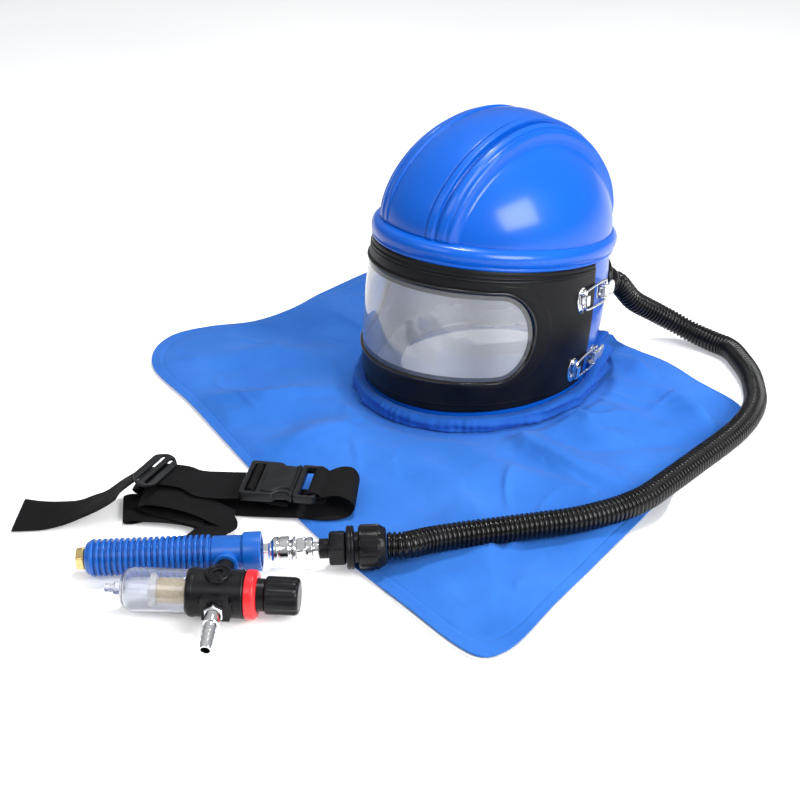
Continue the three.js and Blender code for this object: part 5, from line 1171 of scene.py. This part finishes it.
# Filter regulator's bowl
# A clear moulded bowl on the body, with a barbed drain at its end, a sintered filter and a vaned baffle
# inside. All are turned about the regulator's axis.
BOWL_CLEAR = clear_finish("bowl_clear", (0.93, 0.95, 1.0), (0.02, 0.08), (1.0, 1.0, 1.0), 0.94)
TAN = finish_of("filter_tan", (0.55, 0.40, 0.20), (0.78, 0.62, 0.38), (0.75, 0.95), mottle=500.0,
                grain=(900.0, 0.0006, 0.5))
WHITE = finish_of("plastic_white", (0.78, 0.78, 0.77), (0.86, 0.86, 0.85), (0.3, 0.42), mottle=80.0,
                  grain=(900.0, 0.0001, 0.08))
piece("drain_barbed", [
    turned(REGULATOR, [(0.2, 1.4), (0.2, 2.3), (2, 4), (5, 2.9), (5.2, 4.1), (8.6, 3.1), (9.3, 3.1),
                       (9.5, 5.9), (15.2, 5.9), (15.2, 2)], 48, 0.3),
], BOWL_CLEAR, replaces=["drain_valve"])
piece("bowl_moulded", [
    turned(REGULATOR, [(15.7, 0.4), (15.7, 8.6), (17.4, 13.4), (21.0, 18.2), (27.0, 20.4), (78.2, 20.4),
                       (78.2, 18.5), (27.2, 18.5), (22.0, 16.2), (19.0, 11.4), (17.8, 7.8),
                       (17.8, 0.4)], 96, 1.6, closed=True),
], BOWL_CLEAR, replaces=["regulator_bowl"])
piece("filter_sintered", [
    turned(REGULATOR, [(50.7, 4), (50.7, 11.6), (78.1, 11.8), (78.1, 4)], 64, 0.8),
], TAN, replaces=["filter_element"])


def vanes(angle, at):
    """Eight notches in the baffle's rim."""
    along = ease(at, 42.5, 43.5) * (1 - ease(at, 46.0, 47.0))
    return 1 - 0.12 * (cosd(angle * 8) > 0.2) * along


piece("baffle_vaned", [
    turned(REGULATOR, [(41.8, 2), (41.8, 4.8), (43.6, 15.2), (46.6, 15.8), (50.2, 9), (50.2, 2)], 128,
           0.5, ribs=vanes),
], WHITE, replaces=["bowl_baffle"])

# Regulator's body
# A black cast body with a plugged port on top and a square inlet boss with a barb, a red lock ring and
# a knob with nine flutes, which turns about the regulator's axis.
RED = finish_of("plastic_red", (0.66, 0.012, 0.018), (0.8, 0.02, 0.028), (0.25, 0.35), mottle=80.0,
                grain=(900.0, 0.0001, 0.1))
top_way = REGULATOR[1][2]
inlet_way = REGULATOR[1][0]
top_port = frame_at(port_centre, top_way)
branch_port = frame_at(port_centre, -branch_way)
inlet_slab = (port_centre, np.stack([REGULATOR[1][1], REGULATOR[1][2], REGULATOR[1][0]]))
piece("regulator_cast", [
    turned(REGULATOR, [(78.7, 10), (78.7, 21.6), (80.4, 22.5), (84.0, 22.5), (84.6, 22.0),
                       (127.0, 22.0), (128.8, 22.5), (130.5, 21.4), (130.5, 15), (148.2, 14.8),
                       (148.2, 10.4), (156.5, 10.4), (156.5, 6)], 96, 0.5),
    turned(top_port, [(14, 8.7), (14, 12.4), (22.6, 12.2), (23.8, 11.4), (23.8, 8.7)], 64, 0.6,
           closed=True),
    turned(branch_port, [(10, 11), (26.6, 10.9), (27.5, 10.2), (27.5, 6)], 64, 0.6),
    slab(inlet_slab, [(-13, -12.5), (13, -12.5), (13, 12.5), (-13, 12.5)], 8.0, 25.5, 0.9, soft=2.0),
    slab(inlet_slab, [(-15, -6), (15, -6), (15, 6), (-15, 6)], 8.0, 23.9, 0.9, soft=1.0),
], PLASTIC_BLACK, replaces=["regulator_body"])
piece("port_plug_hex", [
    turned(top_port, [(15.6, 6.0), (23.4, 6.0), (23.4, 8.5), (15.6, 8.5)], 72, 0.3, closed=True),
    turned(top_port, [(15.7, 4.9), (23.3, 4.9), (23.6, 5.4), (23.5, 6.6), (15.7, 6.6)], 72, 0.2,
           closed=True, ribs=hexagon(0.99)),
    turned(top_port, [(15.6, 0.5), (15.6, 7.0), (16.4, 7.0), (16.4, 0.5)], 48, 0),
], PLASTIC_BLACK, replaces=["port_plug"])
piece("lock_ring_red", [
    turned(REGULATOR, [(131.0, 15.4), (131.0, 22.2), (132.0, 22.6), (138.8, 22.6), (141.5, 19.8),
                       (141.5, 15.4)], 96, 0.7, closed=True,
           ribs=lambda angle, at: 1 - 0.012 * (cosd(angle * 12) > 0.6) * (at < 138)),
], RED, replaces=["lock_ring"])


def flutes(angle, at):
    """Nine flutes: a clipped cosine, faded out at the knob's ends."""
    wave = np.clip(1.6 * cosd(angle * 9) + 0.4, -1, 1)
    return 1 + 0.035 * (wave - 1) * (1 - 0.6 * ease(at, 175, 179)) * ease(at, 150.5, 152.5)


piece("knob_fluted", [
    turned(REGULATOR, [(148.7, 10.9), (148.7, 16.4), (150.0, 17.4), (175.5, 17.4), (178.6, 16.2),
                       (179.5, 13.6), (179.5, 0.5)],
           180, 1.4, ribs=flutes),
], PLASTIC_BLACK, body="knob", replaces=["regulator_knob"])
BARB_DROOP = 13.0
barb_start = within(REGULATOR, (25.9 + 5, PORT_AT, 0))
barb_way = REGULATOR[1][0] * cosd(BARB_DROOP) - REGULATOR[1][2] * sind(BARB_DROOP)
barb = frame_at(barb_start, barb_way)
hex_frame = frame_at(port_centre, inlet_way)
piece("inlet_barbed", [
    turned(hex_frame, [(26.0, 3), (26.0, 8.4), (27.0, 9.4), (31.8, 9.4), (32.8, 8.4), (32.8, 3)], 96,
           0.4, ribs=hexagon(0.985)),
    turned(barb, [(1.5, 4.2), (1.5, 7.4), (11.6, 7.4), (12.4, 6.0), (15.6, 5.8), (16.2, 7.1),
                  (21.0, 5.8), (21.6, 7.1), (26.8, 5.8), (27.4, 7.1), (32.8, 5.9), (33.4, 6.9),
                  (39.8, 5.5), (39.9, 4.2)], 64, 0.35,
                  closed=True),
], CHROME, replaces=["inlet_barb"])

# Belt
# Black woven webbing 50 mm wide. Each strand is a strip between two smooth edge lines, with rolled
# edges; its flat position drives the weave.
BELT_WIDTH, BELT_THICKNESS = 50, 1.8


def webbing_finish():
    """Black webbing: a weave from the strap's own flat position in millimetres."""
    made = finish_of("webbing_black", (0.0025, 0.0025, 0.0025), (0.006, 0.006, 0.007), (0.7, 0.9),
                     mottle=60.0, Specular_IOR_Level=0.15)
    tree = made.node_tree
    shader = tree.nodes["Principled BSDF"]
    flat = node(tree, "ShaderNodeUVMap", uv_map="UVMap").outputs[0]
    threads = grouped(tree, WEAVE, {"Vector": flat, "Pitch": 1.6})
    relief = node(tree, "ShaderNodeBump", {
        "Strength": 0.6, "Distance": 0.0005, "Height": threads.outputs["Height"]})
    tree.links.new(relief.outputs[0], shader.inputs["Normal"])
    return made


WEBBING = webbing_finish()
BELT_STRANDS = {
    "belt_tail": [
        ((-116, -544.5, 2), (-72, -584, 2)), ((-101, -534, 2), (-54, -560, 2)),
        ((-87, -520.8, 2.5), (-41.8, -541.5, 5.8)), ((-75, -504.4, 3), (-30.6, -524.5, 13.2)),
        ((-67.6, -490.9, 7), (-22.7, -510.7, 19.5)), ((-59.4, -480.5, 12), (-14.2, -498.2, 28.8)),
        ((-54, -463, 21), (-15, -491, 34)), ((-45.1, -423.2, 33.6), (-25.1, -467.8, 33)),
    ],
    "belt_upper": [
        ((-42, -424, 29.3), (-19, -455, 28.9)), ((-32, -416, 29.6), (-8, -447, 29)),
        ((-18, -404, 28), (9, -434, 27)), ((-9, -396, 24), (23, -430, 24)),
        ((4, -376, 20), (38, -414, 20.3)), ((23, -354.5, 18.9), (55, -393, 18.9)),
        ((33.5, -346, 18.9), (65.7, -384, 18.9)),
    ],
    "belt_lower": [
        ((-51, -426, 21.5), (-31, -460, 19)), ((-64, -429, 16), (-41, -462, 13)),
        ((-58, -424, 11), (-32, -458, 9.8)), ((-28, -394, 11), (4, -426, 9.8)),
        ((-5, -376, 13), (26, -413, 9.5)), ((25, -354, 16.6), (56, -391, 16.4)),
        ((62, -330, 16.6), (94, -366, 16.4)),
    ],
    "belt_loop": [
        ((81.3, -305.4, 26), (113.5, -343.8, 25.5)), ((90, -289, 30), (125, -326, 27)),
        ((99, -281, 28), (138, -318, 22)), ((104, -279, 19), (139, -316, 14)),
        ((106, -288, 10), (138, -322, 7.5)), ((97, -299, 6.3), (131, -336, 5.9)),
        ((68, -323, 6), (103, -362, 5.6)), ((27, -358, 5.6), (62, -395, 2.2)),
        ((1, -379, 1.7), (35, -416, 1.6)),
    ],
    "belt_pile": [
        ((-1.1, -380.8, 1.6), (32.9, -418, 1.6)), ((-18, -405, 1.5), (18, -440, 1.5)),
        ((-37, -440, 1.5), (4, -469, 1.5)), ((-46, -461, 1.5), (-4, -488, 1.5)),
        ((-50, -468, 3.6), (-8, -495, 3.6)), ((-45, -461, 6), (-3, -488, 6)),
        ((-31, -450, 6.6), (6, -482, 6.6)), ((-6, -429, 7), (28, -463, 7)),
        ((25, -408, 7), (50, -450, 7)), ((62, -408, 8), (56, -458, 8)), ((86, -422, 13), (62, -468, 12)),
        ((100.9, -447.4, 22.6), (68.5, -485.4, 21.2)),
    ],
}


def strip(rows, thickness=BELT_THICKNESS, per_row=10, across=13):
    """A strap between its two edge lines, with its flat position in millimetres for each point."""
    both = smooth_line(np.array([[*back, *front] for back, front in rows], float), per_row * len(rows))
    back, front = both[:, :3], both[:, 3:]
    v = np.linspace(0, 1, across)
    middle = back[:, None] + (front - back)[:, None] * v[None, :, None]
    run = np.gradient(middle, axis=0)
    width = np.gradient(middle, axis=1)
    normal = unit(np.cross(run, width))
    edge = np.sqrt(np.clip(1 - np.abs(2 * v - 1) ** 14, 0.05, 1))
    lift = normal * (thickness / 2 * edge)[None, :, None]
    lower, upper = middle - lift, middle + lift
    parts = walled(lower, upper)
    gaps = np.linalg.norm(np.diff(middle[:, across // 2], axis=0), axis=1)
    length = np.concatenate([[0], np.cumsum(gaps)])
    flat = np.stack(np.broadcast_arrays(length[:, None], BELT_WIDTH * v[None, :]), -1)
    sides = [np.stack([flat[:, 0]] * 2), np.stack([flat[:, -1]] * 2)]
    skins = [flat, flat, flat[[0, 0]], flat[[-1, -1]], *sides]
    return parts, np.concatenate([s.reshape(-1, 2) for s in skins])


for name, rows in BELT_STRANDS.items():
    parts, flat = strip(rows)
    piece(f"{name}_webbing", parts, WEBBING, replaces=[name], uv=flat, sharp=60)

# Curl of the belt
# One more fold of the strap lies on the pile. It is soft and shows in the looks only.
CURL = [((34, -419, 9.4), (60, -445, 9.2)), ((4, -432, 9.6), (30, -458, 9.2)),
        ((-21, -444, 10), (5, -470, 9.6)), ((-34, -450, 14), (-8, -476, 13)),
        ((-26, -446, 21), (0, -472, 19)), ((-4, -432, 23), (22, -458, 20.5)),
        ((18, -419, 20), (44, -444, 17)), ((38, -411, 15), (62, -436, 13)),
        ((58, -403, 10.5), (84, -428, 10))]
parts, flat = strip(CURL)
piece("belt_curl_webbing", parts, WEBBING, uv=flat, sharp=60)

# Buckle and slider
# Moulded grey plastic. The strap's ends wrap round a bar in each half of the buckle, and the slider
# sits on the doubled strap near its tail.
GREY = finish_of("plastic_grey", (0.006, 0.006, 0.007), (0.011, 0.012, 0.013), (0.34, 0.48), mottle=60.0,
                 grain=(1600.0, 0.0003, 0.2), Specular_IOR_Level=0.25)
BUCKLE_HEADING = 40.0
BUCKLE = (np.array([69.5, -348, 20.5]), np.stack([
    np.array([cosd(BUCKLE_HEADING), sind(BUCKLE_HEADING), 0]),
    np.array([-sind(BUCKLE_HEADING), cosd(BUCKLE_HEADING), 0]),
    np.array([0, 0, 1.0])]))
for name, path in (
        ("socket", [(-22, -1.6), (-26, -0.6), (-28.4, 4), (-28.6, 9), (-31.5, 11.2), (-34.4, 9),
                    (-34.8, 3), (-36, -1.2), (-42, -1.8)]),
        ("plug", [(42, 6.5), (37.5, 10.6), (33, 11.6), (28.5, 10.4), (26.6, 5.5), (28, 0.2), (33, -1.4),
                  (39, -1.0), (45, 0.5)])):
    rows = [(within(BUCKLE, (x, 24.5, z)), within(BUCKLE, (x, -24.5, z))) for x, z in path]
    parts, flat = strip(rows)
    piece(f"buckle_wrap_{name}", parts, WEBBING, uv=flat, sharp=60)
half = 31.0
waist = half - 7
socket_outline = [(-42, -half + 2), (-40, -half), (-14, -half), (-8, -half + 1), (-3, -waist),
                  (5, -waist), (9, -half + 3), (12, -half + 3), (12, half - 3), (9, half - 3),
                  (5, waist), (-3, waist), (-8, half - 1), (-14, half), (-40, half), (-42, half - 2)]
slot_hole = [(-37, -26.5), (-26, -26.5), (-26, 26.5), (-37, 26.5)]
raised = [(-21, -26), (-8, -27), (-2, -19), (7, -19), (10, -24), (10, 24), (7, 19), (-2, 19), (-8, 27),
          (-21, 26)]
piece("buckle_socket_moulded", [
    slab(BUCKLE, socket_outline, 0.0, 10.4, 1.4, [slot_hole], soft=1.5),
    slab(BUCKLE, raised, 8.0, 12.0, 1.2, soft=2.5),
    slab(BUCKLE, [(-33.2, -27), (-29.8, -27), (-29.8, 27), (-33.2, 27)], 4.0, 9.2, 1.0),
], GREY, replaces=["buckle_socket"])
plug_outline = [(12.3, -half + 4), (14, -half + 1), (34, -half + 1), (36, -half + 3), (36, half - 3),
                (34, half - 1), (14, half - 1), (12.3, half - 4)]
plug_hole = [(18, -26.5), (31, -26.5), (31, 26.5), (18, 26.5)]
piece("buckle_plug_moulded", [
    slab(BUCKLE, plug_outline, 1.0, 10.0, 1.2, [plug_hole], soft=1.5),
    slab(BUCKLE, [(-7, -half + 2.5), (12.6, -half + 4), (12.6, -half + 9), (-2, -half + 9)], 2.2, 8.6,
         0.8, soft=1.5),
    slab(BUCKLE, [(-7, half - 2.5), (12.6, half - 4), (12.6, half - 9), (-2, half - 9)], 2.2, 8.6, 0.8,
         soft=1.5),
], GREY, replaces=["buckle_plug"])
heading, roll = 114.0, 12.0
slider_x = np.array([cosd(heading), sind(heading), 0])
slider_y = np.array([-sind(heading) * cosd(roll), cosd(heading) * cosd(roll), sind(roll)])
SLIDER = (np.array([-27.0, -441.0, 35.0]), np.stack([slider_x, slider_y, np.cross(slider_x, slider_y)]))
slider_outline = [(-21, -13.5), (21, -13.5), (30, -4.5), (30, 4.5), (21, 13.5), (-21, 13.5), (-30, 4.5),
                  (-30, -4.5)]
piece("slider_moulded", [
    slab(SLIDER, slider_outline, -1.8, 1.8, 0.8,
         [[(-25.5, m - 1.8), (25.5, m - 1.8), (25.5, m + 1.8), (-25.5, m + 1.8)] for m in (-4.5, 4.5)],
         soft=4.0),
], GREY, replaces=["belt_slider"])

# Floor, sky and lights
# A pale paper floor, an even sky that is brighter overhead, a small light above the dome, a wide one on
# the window side and a weak one in front.
floor_mesh = bpy.data.meshes.new("floor")
floor_mesh.from_pydata([(-9, -9, -0.0005), (9, -9, -0.0005), (9, 9, -0.0005), (-9, 9, -0.0005)], [],
                       [(0, 1, 2, 3)])
floor = bpy.data.objects.new("floor", floor_mesh)
bpy.context.scene.collection.objects.link(floor)
FLOOR = finish_of("floor_paper", (0.86, 0.865, 0.87), (0.9, 0.9, 0.9), (0.55, 0.7), mottle=1.5,
                  grain=(300.0, 0.0001, 0.05))
floor_mesh.materials.append(FLOOR)
FLOOR.node_tree.nodes["Principled BSDF"].inputs["Emission Color"].default_value = (1, 1, 1, 1)
FLOOR.node_tree.nodes["Principled BSDF"].inputs["Emission Strength"].default_value = 0.28

world = bpy.data.worlds.new("studio")
world.use_nodes = True
bpy.context.scene.world = world
sky = world.node_tree.nodes["Background"]
sky.inputs["Color"].default_value = (0.97, 0.985, 1.0, 1)
view_way = node(world.node_tree, "ShaderNodeTexCoord").outputs["Generated"]
up_way = node(world.node_tree, "ShaderNodeSeparateXYZ", {0: view_way})
level = node(world.node_tree, "ShaderNodeMapRange", {
    "Value": up_way.outputs[2], "From Min": 0.0, "From Max": 0.95, "To Min": 0.2, "To Max": 0.62})
world.node_tree.links.new(level.outputs[0], sky.inputs["Strength"])


def soft_light(name, at, towards, size, power):
    """A rectangular light that faces a point."""
    data = bpy.data.lights.new(name, "AREA")
    data.shape = "RECTANGLE"
    data.size, data.size_y = size
    data.energy = power
    made = bpy.data.objects.new(name, data)
    bpy.context.scene.collection.objects.link(made)
    made.location = at
    made.rotation_mode = "QUATERNION"
    made.rotation_quaternion = (Vector(towards) - Vector(at)).to_track_quat("-Z", "Y")


soft_light("overhead", (-0.03, 0.36, 1.9), (0.01, 0.15, 0.29), (0.26, 0.26), 24.0)
soft_light("window", (1.75, 0.25, 1.2), (0.05, 0.1, 0.2), (1.1, 0.9), 44.0)
soft_light("front", (0.5, -2.0, 2.0), (0.0, 0.0, 0.1), (1.6, 1.0), 15.0)
bpy.context.scene.view_settings.view_transform = "Standard"
